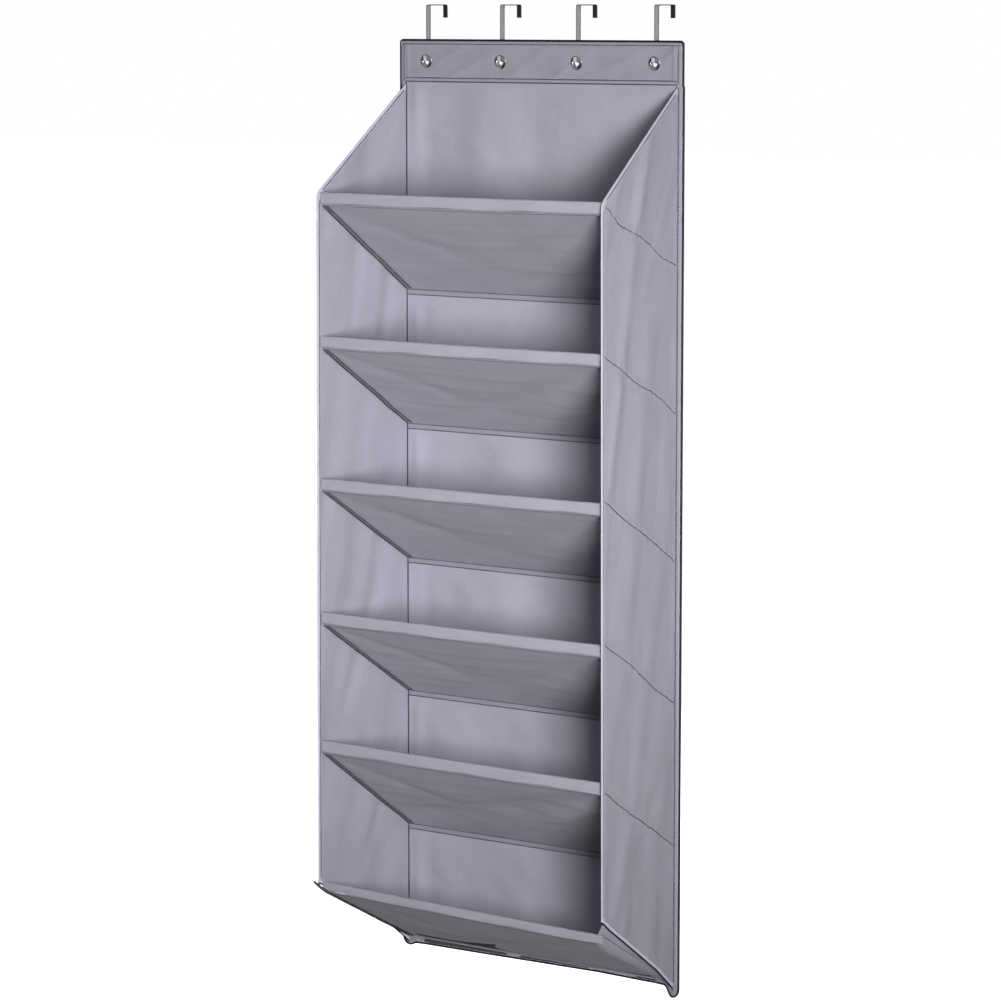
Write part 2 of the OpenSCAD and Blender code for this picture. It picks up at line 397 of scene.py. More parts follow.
@once
def ribbed_tape(factor):
    """Binding tape: fine ribs across its length, worn lighter where it is rubbed."""
    colour = times(tuple(chosen().colours.tape), factor)
    s = Shader(f"ribbed_tape_{round(factor * 100)}")
    cut = s.cut()
    ribs = s.bands(cut, 1.3 * MM, "Y")
    rub = s.noise(cut, 14 * MM, 4.0, 0.6)
    fluff = s.noise(cut, 1.2 * MM, 2.0)
    base = s.mix(
        rub * 0.55 + ribs * 0.2 + fluff * 0.25, times(colour, 0.8), times(colour, 1.2)
    )
    return s.surface(
        Base_Color=base,
        Roughness=0.9 - ribs * 0.15,
        Specular_IOR_Level=0.3,
        Sheen_Weight=0.1,
        Normal=s.bump(ribs * 0.6 + fluff * 0.4, 0.25 * MM, 0.6),
    )


@once
def piping_cord():
    """Dark piping: a tight skin with the twist of the cord showing through."""
    colour = tuple(chosen().colours.piping)
    s = Shader("piping_cord")
    place = s.place()
    twist = s.noise(place, 2.2 * MM, 2.0)
    rub = s.noise(place, 30 * MM, 3.0)
    return s.surface(
        Base_Color=s.mix(twist * 0.5 + rub * 0.5, times(colour, 0.6), times(colour, 1.7)),
        Roughness=0.75 - twist * 0.2,
        Specular_IOR_Level=0.35,
        Normal=s.bump(twist, 0.3 * MM, 0.6),
    )


@once
def sewing_thread(factor):
    """Twisted sewing thread."""
    colour = times(tuple(chosen().colours.thread), factor)
    s = Shader(f"sewing_thread_{round(factor * 100)}")
    twist = s.noise(s.place(), 0.9 * MM, 2.0)
    return s.surface(
        Base_Color=s.mix(twist, times(colour, 0.7), times(colour, 1.4)),
        Roughness=0.7 - twist * 0.15,
        Specular_IOR_Level=0.4,
        Normal=s.bump(twist, 0.2 * MM, 0.5),
    )


@once
def polished_steel(tone, metal, middle, half, tilt, painted_shade_from=1.0):
    """Plated steel with polishing lines; a painted reflection of dark surroundings darkens it
    towards its edges, and painted shade darkens it behind the depth given as its last argument.
    """
    s = Shader(f"polished_steel_{round(tone * 100)}_{round((middle[0] + 1) * 1000)}")
    place = s.place()
    lines = s.noise(place, 1.0 * MM, 3.0, 0.6, (3.0, 3.0, 0.05))
    haze = s.noise(place, 12 * MM, 4.0, 0.6)
    clean = s.mix(haze, (tone * 0.94,) * 3, (tone, tone, tone * 1.02))
    # Painted reflection: the steel is painted darker towards both ends of a tilted axis, for the
    # dark surroundings it would mirror.
    across = (s.axis(place, "X") - middle[0]) * (math.cos(tilt) / half)
    across = across + (s.axis(place, "Z") - middle[1]) * (math.sin(tilt) / half)
    off = across * across
    # Painted shade: the steel fades to near black over 8 mm past the given depth.
    behind = (s.axis(place, "Y") - painted_shade_from) * (1 / (8 * MM))
    painted_dark_reflection = s.mix(off * off, clean, (0.03, 0.03, 0.035))
    return s.surface(
        Base_Color=s.mix(behind, painted_dark_reflection, (0.04, 0.04, 0.045)),
        Metallic=metal,
        Roughness=0.16 + haze * 0.12 + lines * 0.05,
        Normal=s.bump(lines, 0.05 * MM, 0.25),
    )


@once
def drawn_wire():
    """Plain drawn wire with lines along its length."""
    s = Shader("drawn_wire")
    place = s.place()
    lines = s.noise(place, 0.8 * MM, 3.0, 0.6, (0.03, 2.0, 2.0))
    return s.surface(
        Base_Color=s.mix(lines, (0.42, 0.42, 0.43), (0.62, 0.62, 0.63)),
        Metallic=1.0,
        Roughness=0.3 + lines * 0.2,
        Normal=s.bump(lines, 0.08 * MM, 0.4),
    )


@once
def board_sheet():
    """Matt corrugated plastic sheet, with flutes that run across it."""
    colour = tuple(chosen().colours.board)
    s = Shader("board_sheet")
    place = s.place()
    flutes = s.bands(place, 4 * MM, "X")
    scuffs = s.noise(place, 8 * MM, 5.0, 0.65)
    return s.surface(
        Base_Color=s.mix(scuffs * 0.6 + flutes * 0.4, times(colour, 0.7), times(colour, 1.3)),
        Roughness=0.5 + scuffs * 0.2,
        Normal=s.bump(flutes * 0.7 + scuffs * 0.3, 0.3 * MM, 0.5),
    )


@once
def pale_floor():
    """Plain pale studio floor."""
    colour = tuple(chosen().colours.floor)
    s = Shader("pale_floor")
    grain = s.noise(s.place(), 0.4, 3.0)
    return s.surface(
        Base_Color=s.mix(grain, times(colour, 0.99), colour),
        Roughness=0.9,
        Specular_IOR_Level=0.1,
        Emission_Color=(1.0, 1.0, 1.0, 1.0),
        Emission_Strength=1.0,
    )


# ---------------------------------------------------------------- modelling


def fresh():
    """Object mode with nothing selected."""
    active = bpy.context.view_layer.objects.active
    if active is not None and active.mode != "OBJECT":
        bpy.ops.object.mode_set(mode="OBJECT")
    bpy.ops.object.select_all(action="DESELECT")


def pick(piece):
    fresh()
    piece.select_set(True)
    bpy.context.view_layer.objects.active = piece
    return piece


def corners(piece):
    """The piece's vertices as rows of x, y and z."""
    found = np.empty(len(piece.data.vertices) * 3)
    piece.data.vertices.foreach_get("co", found)
    return found.reshape(-1, 3)


def move_corners(piece, places):
    piece.data.vertices.foreach_set("co", np.ravel(places))
    piece.data.update()


def modify(piece, kind, **settings):
    """Adds a modifier and applies it."""
    pick(piece)
    bpy.ops.object.modifier_add(type=kind)
    modifier = piece.modifiers[-1]
    for key, value in settings.items():
        setattr(modifier, key, value)
    bpy.ops.object.modifier_apply(modifier=modifier.name)
    return piece


def in_edit(piece, *steps):
    """Runs edit-mode steps on the whole mesh."""
    pick(piece)
    bpy.ops.object.mode_set(mode="EDIT")
    bpy.ops.mesh.select_all(action="SELECT")
    for step in steps:
        step()
    bpy.ops.object.mode_set(mode="OBJECT")
    return piece


def merge():
    bpy.ops.mesh.remove_doubles(threshold=0.01 * MM)


def face_out():
    bpy.ops.mesh.normals_make_consistent(inside=False)


def smooth(piece, angle=40):
    pick(piece)
    bpy.ops.object.shade_smooth_by_angle(angle=math.radians(angle))
    return piece


def named(piece, name):
    piece.name = piece.data.name = name
    return piece


def cloth(name, columns, rows, place, size):
    """A grid laid out by place(u, v), with u and v from 0 to 1; its cut map is in metres."""
    fresh()
    bpy.ops.mesh.primitive_grid_add(x_subdivisions=columns, y_subdivisions=rows, size=1)
    piece = named(bpy.context.object, name)
    flat = corners(piece)
    u, v = np.round(flat[:, 0] + 0.5, 6), np.round(flat[:, 1] + 0.5, 6)
    move_corners(piece, np.stack(np.broadcast_arrays(*place(u, v)), 1))
    layer = piece.data.uv_layers.active
    layer.name = "cut"
    uv = np.empty(len(piece.data.loops) * 2)
    layer.data.foreach_get("uv", uv)
    layer.data.foreach_set("uv", np.ravel(uv.reshape(-1, 2) * np.array(size)))
    return piece


def thicken(piece, thickness, offset=-1.0):
    return modify(
        piece, "SOLIDIFY", thickness=thickness, offset=offset, use_even_offset=False
    )


def along(path):
    """Distance walked along a path at each of its points."""
    steps = np.linalg.norm(np.diff(path, axis=0), axis=1)
    return np.concatenate([[0.0], np.cumsum(steps)])


def resample(path, step):
    """The same path with points one step apart."""
    path = np.array(path, float)
    walked = along(path)
    count = max(2, int(round(walked[-1] / step)) + 1)
    at = np.linspace(0, walked[-1], count)
    return np.stack([np.interp(at, walked, path[:, i]) for i in range(3)], 1)


def directions(path):
    ahead = np.gradient(path, axis=0)
    return ahead / np.linalg.norm(ahead, axis=1)[:, None]


def sweep(name, path, profile, lift, scale=None):
    """Carries a profile of (inward, lifted) offsets along a path; inward is to the left of the
    walk as seen from the tip of lift."""
    path, profile = np.array(path, float), np.array(profile, float)
    lift = np.broadcast_to(np.array(lift, float), path.shape)
    inward = np.cross(lift, directions(path))
    inward /= np.linalg.norm(inward, axis=1)[:, None]
    scale = np.ones(len(path)) if scale is None else np.array(scale, float)

    def place(u, v):
        i = np.rint(v * (len(path) - 1)).astype(int)
        j = np.rint(u * (len(profile) - 1)).astype(int)
        offset = profile[j] * scale[i][:, None]
        spot = path[i] + inward[i] * offset[:, :1] + lift[i] * offset[:, 1:]
        return spot[:, 0], spot[:, 1], spot[:, 2]

    size = (along(profile)[-1], along(path)[-1])
    return cloth(name, len(profile) - 1, len(path) - 1, place, size)


def ring(radius, sides):
    turn = np.linspace(0, 2 * math.pi, sides + 1)
    return np.stack([radius * np.cos(turn), radius * np.sin(turn)], 1)


def tube(name, path, radius, lift, sides=8, step=6 * MM):
    """A round cord along a path, closed by rounded ends."""
    path = resample(path, step)
    ahead = directions(path)
    path = np.concatenate(
        [[path[0] - ahead[0] * radius * 0.6], path, [path[-1] + ahead[-1] * radius * 0.6]]
    )
    path = np.concatenate([path[:1], path, path[-1:]])
    path[0] -= ahead[0] * radius * 0.1
    path[-1] += ahead[-1] * radius * 0.1
    scale = np.ones(len(path))
    scale[[0, -1]], scale[[1, -2]] = 0.0, 0.75
    piece = sweep(name, path, ring(radius, sides), lift, scale)
    return smooth(in_edit(piece, merge, face_out), 60)


def binding(name, path, lift, width, gap, thickness, wave=0.0, seed=1, step=5 * MM):
    """Tape folded round an edge: a front leg, the fold and a back leg, a gap apart."""
    path = resample(path, step)
    half = gap / 2
    profile = [(depth, half) for depth in np.linspace(width, 1.3 * half, 4)]
    turn = np.radians(np.arange(60, -61, -30))
    profile += [(1.2 * half * (1 - math.cos(a)), half * math.sin(a)) for a in turn]
    profile += [(depth, -half) for depth in np.linspace(1.3 * half, width, 4)]
    piece = sweep(name, path, profile, lift)
    if wave:
        rng = np.random.default_rng(seed)
        places = corners(piece)
        phases = rng.uniform(0, 2 * math.pi, 4)
        lengths = np.array([21, 34, 55, 89]) * MM
        far = places @ (directions(path).mean(0))
        shift = sum(np.sin(2 * math.pi * far / l + p) for l, p in zip(lengths, phases))
        side = np.array(lift, float)
        sign = np.sign((places - path.mean(0)) @ side)
        move_corners(piece, places + side * (sign * (1 + shift / 4) * wave)[:, None])
    piece = thicken(piece, thickness, 1.0)
    return smooth(piece, 50)


def strip(name, path, width, thickness, lift, wave=0.0, seed=1):
    """A flat tape with soft edges; its inner edge is one width inward of the path."""
    path = resample(path, 6 * MM)
    edge = thickness * 0.5
    profile = [
        (0, 0), (0, edge), (edge, thickness), (width * 0.33, thickness * 1.1),
        (width * 0.66, thickness * 1.1), (width - edge, thickness), (width, edge), (width, 0),
        (0, 0),
    ]
    piece = sweep(name, path, profile, lift)
    if wave:
        rng = np.random.default_rng(seed)
        places = corners(piece)
        far = places @ directions(path).mean(0)
        waves = sum(
            np.sin(2 * math.pi * far / l + rng.uniform(0, 6)) for l in (0.019, 0.043, 0.11)
        )
        side = np.array(lift, float)
        raised = np.clip((places - path.mean(0)) @ side, 0, None) > edge * 0.5
        move_corners(piece, places + side * (raised * (waves + 3) / 6 * wave)[:, None])
    piece = in_edit(piece, merge, face_out)
    close_ends(piece)
    return smooth(piece, 45)


def close_ends(piece):
    pick(piece)
    bpy.ops.object.mode_set(mode="EDIT")
    bpy.ops.mesh.select_all(action="DESELECT")
    bpy.ops.mesh.select_mode(type="EDGE")
    bpy.ops.mesh.select_non_manifold()
    bpy.ops.mesh.fill_holes(sides=0)
    bpy.ops.mesh.select_all(action="SELECT")
    face_out()
    bpy.ops.mesh.select_mode(type="VERT")
    bpy.ops.object.mode_set(mode="OBJECT")
    return piece


def stitch_pattern():
    """One stitch along X: a short thread whose ends dive into the cloth."""
    thread = chosen().thread
    fresh()
    bpy.ops.mesh.primitive_cylinder_add(
        vertices=6,
        radius=thread.thread / 2,
        depth=thread.stitch * 0.6,
        rotation=(0, math.pi / 2, 0),
    )
    piece = bpy.context.object
    bpy.ops.object.transform_apply(rotation=True)
    bpy.ops.object.mode_set(mode="EDIT")
    bpy.ops.mesh.select_mode(type="FACE")
    bpy.ops.mesh.select_all(action="DESELECT")
    bpy.ops.object.mode_set(mode="OBJECT")
    for face in piece.data.polygons:
        face.select = abs(face.normal.x) > 0.9
    bpy.ops.object.mode_set(mode="EDIT")
    bpy.ops.mesh.extrude_region_shrink_fatten(
        TRANSFORM_OT_shrink_fatten={"value": thread.stitch * 0.2}
    )
    bpy.ops.transform.resize(value=(1, 0.5, 0.5))
    bpy.ops.mesh.select_mode(type="VERT")
    bpy.ops.object.mode_set(mode="OBJECT")
    places = corners(piece)
    places[:, 2] *= 0.7
    places[:, 2] -= thread.thread * 0.7 * (places[:, 0] / thread.stitch * 2) ** 2
    faces = [tuple(face.vertices) for face in piece.data.polygons]
    bpy.data.objects.remove(piece, do_unlink=True)
    return places, faces


def sew(name, rows, colour=1.0, body=None):
    """Copies the stitch along rows; a row is (path, lift, options), where turn tilts each stitch
    the other way than the last, pitch spaces them, and long and wide stretch each of them."""
    base, faces = stitch_pattern()
    sizes = chosen().thread
    blocks = []
    for path, lift, options in rows:
        pitch = options.get("pitch", sizes.pitch)
        turn = math.radians(options.get("turn", 0))
        spots = resample(path, pitch)
        lift = np.broadcast_to(np.array(lift, float), spots.shape)
        ahead = directions(spots)
        spots, ahead, lift = spots[:-1] + ahead[:-1] * pitch / 2, ahead[:-1], lift[:-1]
        across = np.cross(lift, ahead)
        across /= np.linalg.norm(across, axis=1)[:, None]
        up = np.cross(ahead, across)
        sign = np.where(np.arange(len(spots)) % 2, 1.0, -1.0)[:, None]
        head = ahead * math.cos(turn) + across * math.sin(turn) * sign
        side = np.cross(up, head)
        blocks.append(
            spots[:, None]
            + head[:, None] * base[None, :, :1] * options.get("long", 1.0)
            + side[:, None] * base[None, :, 1:2] * options.get("wide", 1.0)
            + up[:, None] * (base[None, :, 2:] + sizes.thread * 0.2)
        )
    places = np.concatenate(blocks)
    count = len(base)
    fresh()
    mesh = bpy.data.meshes.new(name)
    mesh.from_pydata(
        places.reshape(-1, 3).tolist(),
        [],
        [tuple(i + n * count for i in face) for n in range(len(places)) for face in faces],
    )
    piece = bpy.data.objects.new(name, mesh)
    bpy.context.collection.objects.link(piece)
    dress(smooth(piece, 60), sewing_thread(colour))
    if body:
        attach(piece, body)
    return piece


def sewn(name, rows, shade, body=None):
    """Rows of stitches in sewing thread tinted by that factor, seated on the body if one is given.
    """
    threads = sew(name, rows, shade, body)
    return threads


def flat_row(reach, depth, level, pitch, wide):
    """A level row of stitches across the front, for sew."""
    path = [(-reach, depth, level), (reach, depth, level)]
    return path, FORWARD, {"pitch": pitch * MM, "wide": wide}


def zigzag_rows(depth, low, high):
    """Two upright rows of zigzag stitches on the side tapes, for sew."""
    rows = []
    for sign in SIDES.values():
        x = sign * (EDGE - chosen().cloth.side_tape + 2.6 * MM)
        rows.append(([(x, depth, low), (x, depth, high)], FORWARD, ZIGZAG))
    return rows


def dress(piece, material):
    piece.data.materials.clear()
    piece.data.materials.append(material)
    return piece


def join(name, pieces):
    pick(pieces[0])
    for piece in pieces[1:]:
        piece.select_set(True)
    if len(pieces) > 1:
        bpy.ops.object.join()
    return named(bpy.context.object, name)


def settle(piece, material, body, slot, *nodes):
    """Dresses a finished piece, seats it on its body and lets it stand for its CAD nodes."""
    dress(piece, material)
    if body:
        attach(piece, body)
    if nodes:
        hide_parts(*nodes)
    return piece


def bell(distance, width):
    return np.exp(-((distance / width) ** 2))


def ease(x):
    x = np.clip(x, 0, 1)
    return x * x * (3 - 2 * x)


def waves(rng, x, y, size, count=6, stretch=(1, 1)):
    """Smooth seeded waves from about -1 to 1, in two directions."""
    total = 0
    for _ in range(count):
        angle, phase = rng.uniform(0, math.pi), rng.uniform(0, 2 * math.pi)
        scale = size * rng.uniform(0.7, 1.5)
        total = total + np.sin(
            2 * math.pi * (x * math.cos(angle) / stretch[0] + y * math.sin(angle) / stretch[1])
            / scale + phase
        )
    return total / math.sqrt(count) / 1.2


def ridge(x, y, start, end, width):
    """A soft ridge from one point to another, 1 on its line and fading past its ends."""
    start, end = np.array(start), np.array(end)
    way = end - start
    length = np.linalg.norm(way)
    way = way / length
    far = (x - start[0]) * way[0] + (y - start[1]) * way[1]
    off = (x - start[0]) * -way[1] + (y - start[1]) * way[0]
    over = np.maximum(0, np.maximum(-far, far - length))
    return bell(off, width) * bell(over, length * 0.3)


# ---------------------------------------------------------------- outline helpers


def gusset_face(y, z=0.0):
    """Outer face of a gusset, from the middle of the organizer, at that depth and height."""
    sizes = chosen().cloth
    share = np.clip((GUSSET_REAR - y) / (GUSSET_REAR - GUSSET_FRONT + sizes.reach), 0, 1)
    spread = 5 * MM * np.clip((CORNER_TOP - z) / (CORNER_TOP - LOW_FRONT), 0, 1)
    return GUSSET_HALF - sizes.taper + (sizes.taper + sizes.flare + spread) * share


def shelf_half(y, z):
    """Half the width of a shelf there: 2.6 mm clear of the gusset's outer face."""
    return gusset_face(y, z) - 2.6 * MM


CORNER_R = 20 * MM


def gusset_corner():
    """Front edge, slope angle and centre of the rounded top corner of a gusset."""
    front = GUSSET_FRONT - chosen().cloth.reach
    slope = math.atan2(GUSSET_TOP_REAR - CORNER_TOP, GUSSET_REAR - front)
    drop = CORNER_R / math.tan(math.radians(90) / 2 + slope / 2)
    return front, slope, (front + CORNER_R, CORNER_TOP - drop)


def gusset_top(y):
    front, slope, centre = gusset_corner()
    line = CORNER_TOP + (y - front) * math.tan(slope)
    inside = np.clip(CORNER_R**2 - (y - centre[0]) ** 2, 0, None)
    arc = centre[1] + np.sqrt(inside)
    return np.where(y < centre[0] - CORNER_R * math.sin(slope), np.minimum(line, arc), line)


# Lower edge of a gusset, from its front corner back to the panel: depth and height in millimetres.
LOW_EDGE = (
    (-260, -1419), (-250, -1420.5), (-241, -1426), (-228, -1436), (-189, -1461), (-132, -1498),
    (-74, -1536), (-39, -1564), (-28, -1573), (-18, -1580),
)
LOW_FRONT, LOW_REAR = -1.4205, -1.573


def gusset_low(y, side=1):
    """Lower edge of a gusset at that depth; the left one hangs lower at its front corner."""
    depth, height = np.array(LOW_EDGE).T * MM
    slack = 13 * MM * ease((-0.212 - y) / 0.03) if side < 0 else 0
    return np.interp(y, depth, height) - slack


EDGE = HALF - 3.2 * MM


def panel_outline(side=1, inset=0.0):
    """One half of the back panel's edge, from the middle of the bottom edge to the top, as seen
    on the right; the left lobe hangs less."""
    rises = (16.7, 18.5, 17, 16.3) if side > 0 else (16.7, 14.8, 13.4, 12.6)
    low_mid = PANEL_LOW + rises[-1] * MM
    low_lobe = PANEL_LOW + (-2.3 if side > 0 else 8) * MM
    radius = 14 * MM
    centre = (HALF - radius, low_lobe + radius)
    points = [(x, PANEL_LOW + rise * MM) for x, rise in zip((0, 0.12, 0.236, 0.252), rises)]
    reach = centre[0] - 0.252
    for t in np.linspace(0.15, 1, 9):
        points.append((0.252 + reach * t, low_mid + (low_lobe - low_mid) * ease(t)))
    for a in np.radians(np.arange(-80, 1, 10)):
        points.append((centre[0] + radius * math.cos(a), centre[1] + radius * math.sin(a)))
    points.append((HALF, PANEL_TOP))
    points = resample([(x, 0, z) for x, z in points], 3 * MM)
    inward = np.cross((0, -1, 0), directions(points))
    points += inward * inset
    return points * (side, 1, 1)


def whole_outline(inset=0.0):
    """The panel's edge from its top left corner, down, across and up to its top right corner."""
    return np.concatenate([panel_outline(-1, inset)[::-1], panel_outline(1, inset)[1:]])


def panel_bottom(x):
    found = np.empty_like(x)
    for side in (-1, 1):
        outline = panel_outline(side, 3.2 * MM)
        half = outline[outline[:, 2] < PANEL_LOW + 21 * MM]
        use = x * side >= 0
        found[use] = np.interp(np.abs(x[use]), np.abs(half[:, 0]), half[:, 2])
    return found


# ---------------------------------------------------------------- operators


ZIGZAG = {"turn": 55, "pitch": 3.1 * MM, "wide": 1.5}


class HookOperator(bpy.types.Operator):
    """Four steel strips bent over the door's top edge"""

    bl_idname = "shoe_organizer.door_hooks"
    bl_label = "Door hooks"

    def execute(self, context):
        for k in range(1, len(GROMMETS) + 1):
            source = frame["nodes"][f"hook_{k}"]
            fresh()
            piece = source.copy()
            piece.data = source.data.copy()
            piece.parent = None
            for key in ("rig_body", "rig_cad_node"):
                if key in piece:
                    del piece[key]
            context.collection.objects.link(piece)
            named(piece, f"door_hook_{k}")
            in_edit(
                piece,
                merge,
                lambda: bpy.ops.mesh.dissolve_limited(angle_limit=math.radians(1)),
                face_out,
            )
            modify(
                piece, "BEVEL", width=0.28 * MM, segments=2, limit_method="ANGLE",
                angle_limit=math.radians(50),
            )
            smooth(piece, 35)
            low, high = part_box(f"hook_{k}")
            middle, half = (low.x + high.x) / 2, (high.x - low.x) / 2
            # Painted reflection darkens the strip's sides, and painted shade darkens the hook from
            # 6 mm behind its front face, over its top and lip.
            steel = polished_steel(1.0, 0.5, (middle, 0.0), half, 0.0, low.y + 6 * MM)
            settle(piece, steel, "hanger", "hook_steel", f"hook_{k}")
        return {"FINISHED"}


class GrommetOperator(bpy.types.Operator):
    """Domed eyelets with a rolled inner edge, spun from one outline"""

    bl_idname = "shoe_organizer.grommets"
    bl_label = "Grommets"

    def execute(self, context):
        for k, middle in enumerate(GROMMETS, 1):
            low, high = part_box(f"grommet_{k}")
            outer = (high.x - low.x) / 2
            front, rear = low.y, high.y
            seat = HEADER_FRONT
            bore = 5.5 * MM
            mid = (outer + bore) / 2
            outline = [
                (bore, rear), (bore, seat - 0.4 * MM), (bore + 0.3 * MM, front + 0.35 * MM),
                (bore + 0.9 * MM, front + 0.05 * MM), (bore + 1.6 * MM, front),
                (mid, front + 0.1 * MM), (mid + 1.4 * MM, front + 0.45 * MM),
                (outer - 0.7 * MM, front + 1.0 * MM), (outer - 0.1 * MM, seat - 0.35 * MM),
                (outer, seat - 0.1 * MM), (outer - 0.3 * MM, seat), (bore + 0.8 * MM, seat),
                (bore + 0.8 * MM, rear - 0.4 * MM), (bore + 1.7 * MM, rear - 0.4 * MM),
                (bore + 1.7 * MM, rear - 0.1 * MM), (bore + 1.5 * MM, rear),
            ]
            fresh()
            bpy.ops.mesh.primitive_circle_add(vertices=len(outline), fill_type="NOTHING")
            piece = named(context.object, f"eyelet_{k}")
            move_corners(piece, [(middle.x + r, y, middle.z) for r, y in outline])
            in_edit(
                piece,
                lambda at=middle: bpy.ops.mesh.spin(
                    steps=56, angle=2 * math.pi, center=(at.x, 0, at.z), axis=(0, 1, 0)
                ),
                lambda: bpy.ops.mesh.select_all(action="SELECT"),
                merge,
                face_out,
            )
            smooth(piece, 50)
            # Painted reflection: dark arcs on two sides of each eyelet, along an axis tilted 145
            # degrees.
            steel = polished_steel(0.95, 0.9, (middle.x, middle.z), outer * 0.8, math.radians(145))
            settle(piece, steel, "hanger", "grommet_metal", f"grommet_{k}")
        return {"FINISHED"}


class HeaderOperator(bpy.types.Operator):
    """Header band: two cloths over a stiffener, its tapes, piping and stitches"""

    bl_idname = "shoe_organizer.header"
    bl_label = "Header band"

    def execute(self, context):
        sizes = chosen().cloth
        half = EDGE - 0.3 * MM
        low, top = HEADER_LOW, HEADER_TOP - 3.5 * MM
        creases = [
            ((-0.24, -0.112), (-0.15, -0.066), 7), ((-0.06, -0.118), (0.02, -0.07), 9),
            ((0.10, -0.115), (0.21, -0.068), 8), ((0.205, -0.120), (0.262, -0.072), 6),
            ((-0.18, -0.120), (-0.11, -0.085), 6), ((0.03, -0.118), (0.09, -0.078), 7),
        ]

        def relief(x, z):
            away = np.ones_like(x)
            for spot in GROMMETS:
                away *= 1 - bell(np.hypot(x - spot.x, z - spot.z), 15 * MM)
            edge = ease((HALF - np.abs(x)) / (14 * MM)) * ease((z - low) / (12 * MM))
            edge *= ease((top - z) / (10 * MM))
            rng = np.random.default_rng(chosen().seed + 11)
            total = 0.45 * MM * (1 + waves(rng, x, z, 0.09, 7))
            for start, end, width in creases:
                total = total + 1.1 * MM * ridge(x, z, start, end, width * MM)
            total = total * away * edge
            upright = bell(np.abs(x) - (HALF - 17 * MM), 2.6 * MM) * ease((top - z) / (8 * MM))
            return total + 1.1 * MM * upright * ease((z - low) / (10 * MM))

        def front(u, v):
            x, z = -half + 2 * half * u, low + (top - low) * v
            return x, HEADER_FRONT - relief(x, z), z

        def back(u, v):
            x, z = half - 2 * half * u, low + (top - low) * v
            return x, HEADER_BACK + 0 * x, z

        size = (2 * half, top - low)
        made = []
        for name, layout, columns, rows in (
            ("header_front_cloth", front, 220, 34),
            ("header_back_cloth", back, 60, 10),
        ):
            piece = thicken(cloth(name, columns, rows, layout, size), sizes.cloth)
            cutters = []
            for spot in GROMMETS:
                fresh()
                bpy.ops.mesh.primitive_cylinder_add(
                    vertices=32, radius=6.4 * MM, depth=20 * MM,
                    location=(spot.x, HEADER_FRONT, spot.z), rotation=(math.pi / 2, 0, 0),
                )
                cutters.append(context.object)
            cutter = join("cutter", cutters)
            modify(piece, "BOOLEAN", operation="DIFFERENCE", object=cutter, solver="EXACT")
            bpy.data.objects.remove(cutter, do_unlink=True)
            made.append(smooth(piece, 40))
        settle(made[0], woven_cloth("header"), "hanger", "header_fabric", "header_band")
        settle(made[1], woven_cloth("header"), "hanger", "header_fabric")

        middle = (HEADER_FRONT + HEADER_BACK) / 2
        gap = HEADER_BACK - HEADER_FRONT + 0.1 * MM
        out = FORWARD
        hem = binding(
            "header_top_tape",
            [(EDGE, middle, HEADER_TOP - 3.2 * MM), (-EDGE, middle, HEADER_TOP - 3.2 * MM)],
            out, 6.2 * MM, gap + 0.1 * MM, sizes.tape, 0.12 * MM, 3,
        )
        settle(hem, ribbed_tape(1.0), "hanger", "binding_tape", "header_top_hem")
        for side, sign in SIDES.items():
            ends = (low + 0.3 * MM, HEADER_TOP - 8 * MM)[::sign]
            tape = binding(
                f"header_side_tape_{side}", [(sign * EDGE, middle, z) for z in ends], out,
                sizes.side_tape, gap, sizes.tape, 0.1 * MM, 5,
            )
            settle(tape, ribbed_tape(1.0), "hanger", "binding_tape", f"header_binding_{side}")
        inner = EDGE - sizes.side_tape + 0.5 * MM
        trim = strip(
            "header_trim_tape",
            [(-inner, HEADER_FRONT, low + 1 * MM), (inner, HEADER_FRONT, low + 1 * MM)],
            7 * MM, 0.8 * MM, out, 0.3 * MM, 9,
        )
        settle(trim, ribbed_tape(1.02), "hanger", "binding_tape", "header_trim")

        edge = HALF - 1.3 * MM
        top_edge = HEADER_TOP - 1.3 * MM
        cord = tube(
            "header_piping",
            [(-edge, middle, low + 0.2 * MM), (-edge, middle, top_edge), (edge, middle, top_edge),
             (edge, middle, low + 0.2 * MM)],
            sizes.piping, out,
        )
        settle(cord, piping_cord(), "hanger", "binding_tape")

        face = HEADER_FRONT - sizes.tape - 0.25 * MM
        rows = [flat_row(EDGE - 3 * MM, face, HEADER_TOP - 7.6 * MM, 3.8, 1.7)]
        for rise in (1.2, 7.0):
            rows.append(flat_row(inner, face - 0.3 * MM, low + rise * MM, 3.8, 1.7))
        zigzag = zigzag_rows(face, low + 2 * MM, HEADER_TOP - 9 * MM)
        sewn("header_zigzag", zigzag, 1.3, "hanger")
        threads = sewn("header_stitches", rows, 1.0, "hanger")
        return {"FINISHED"}


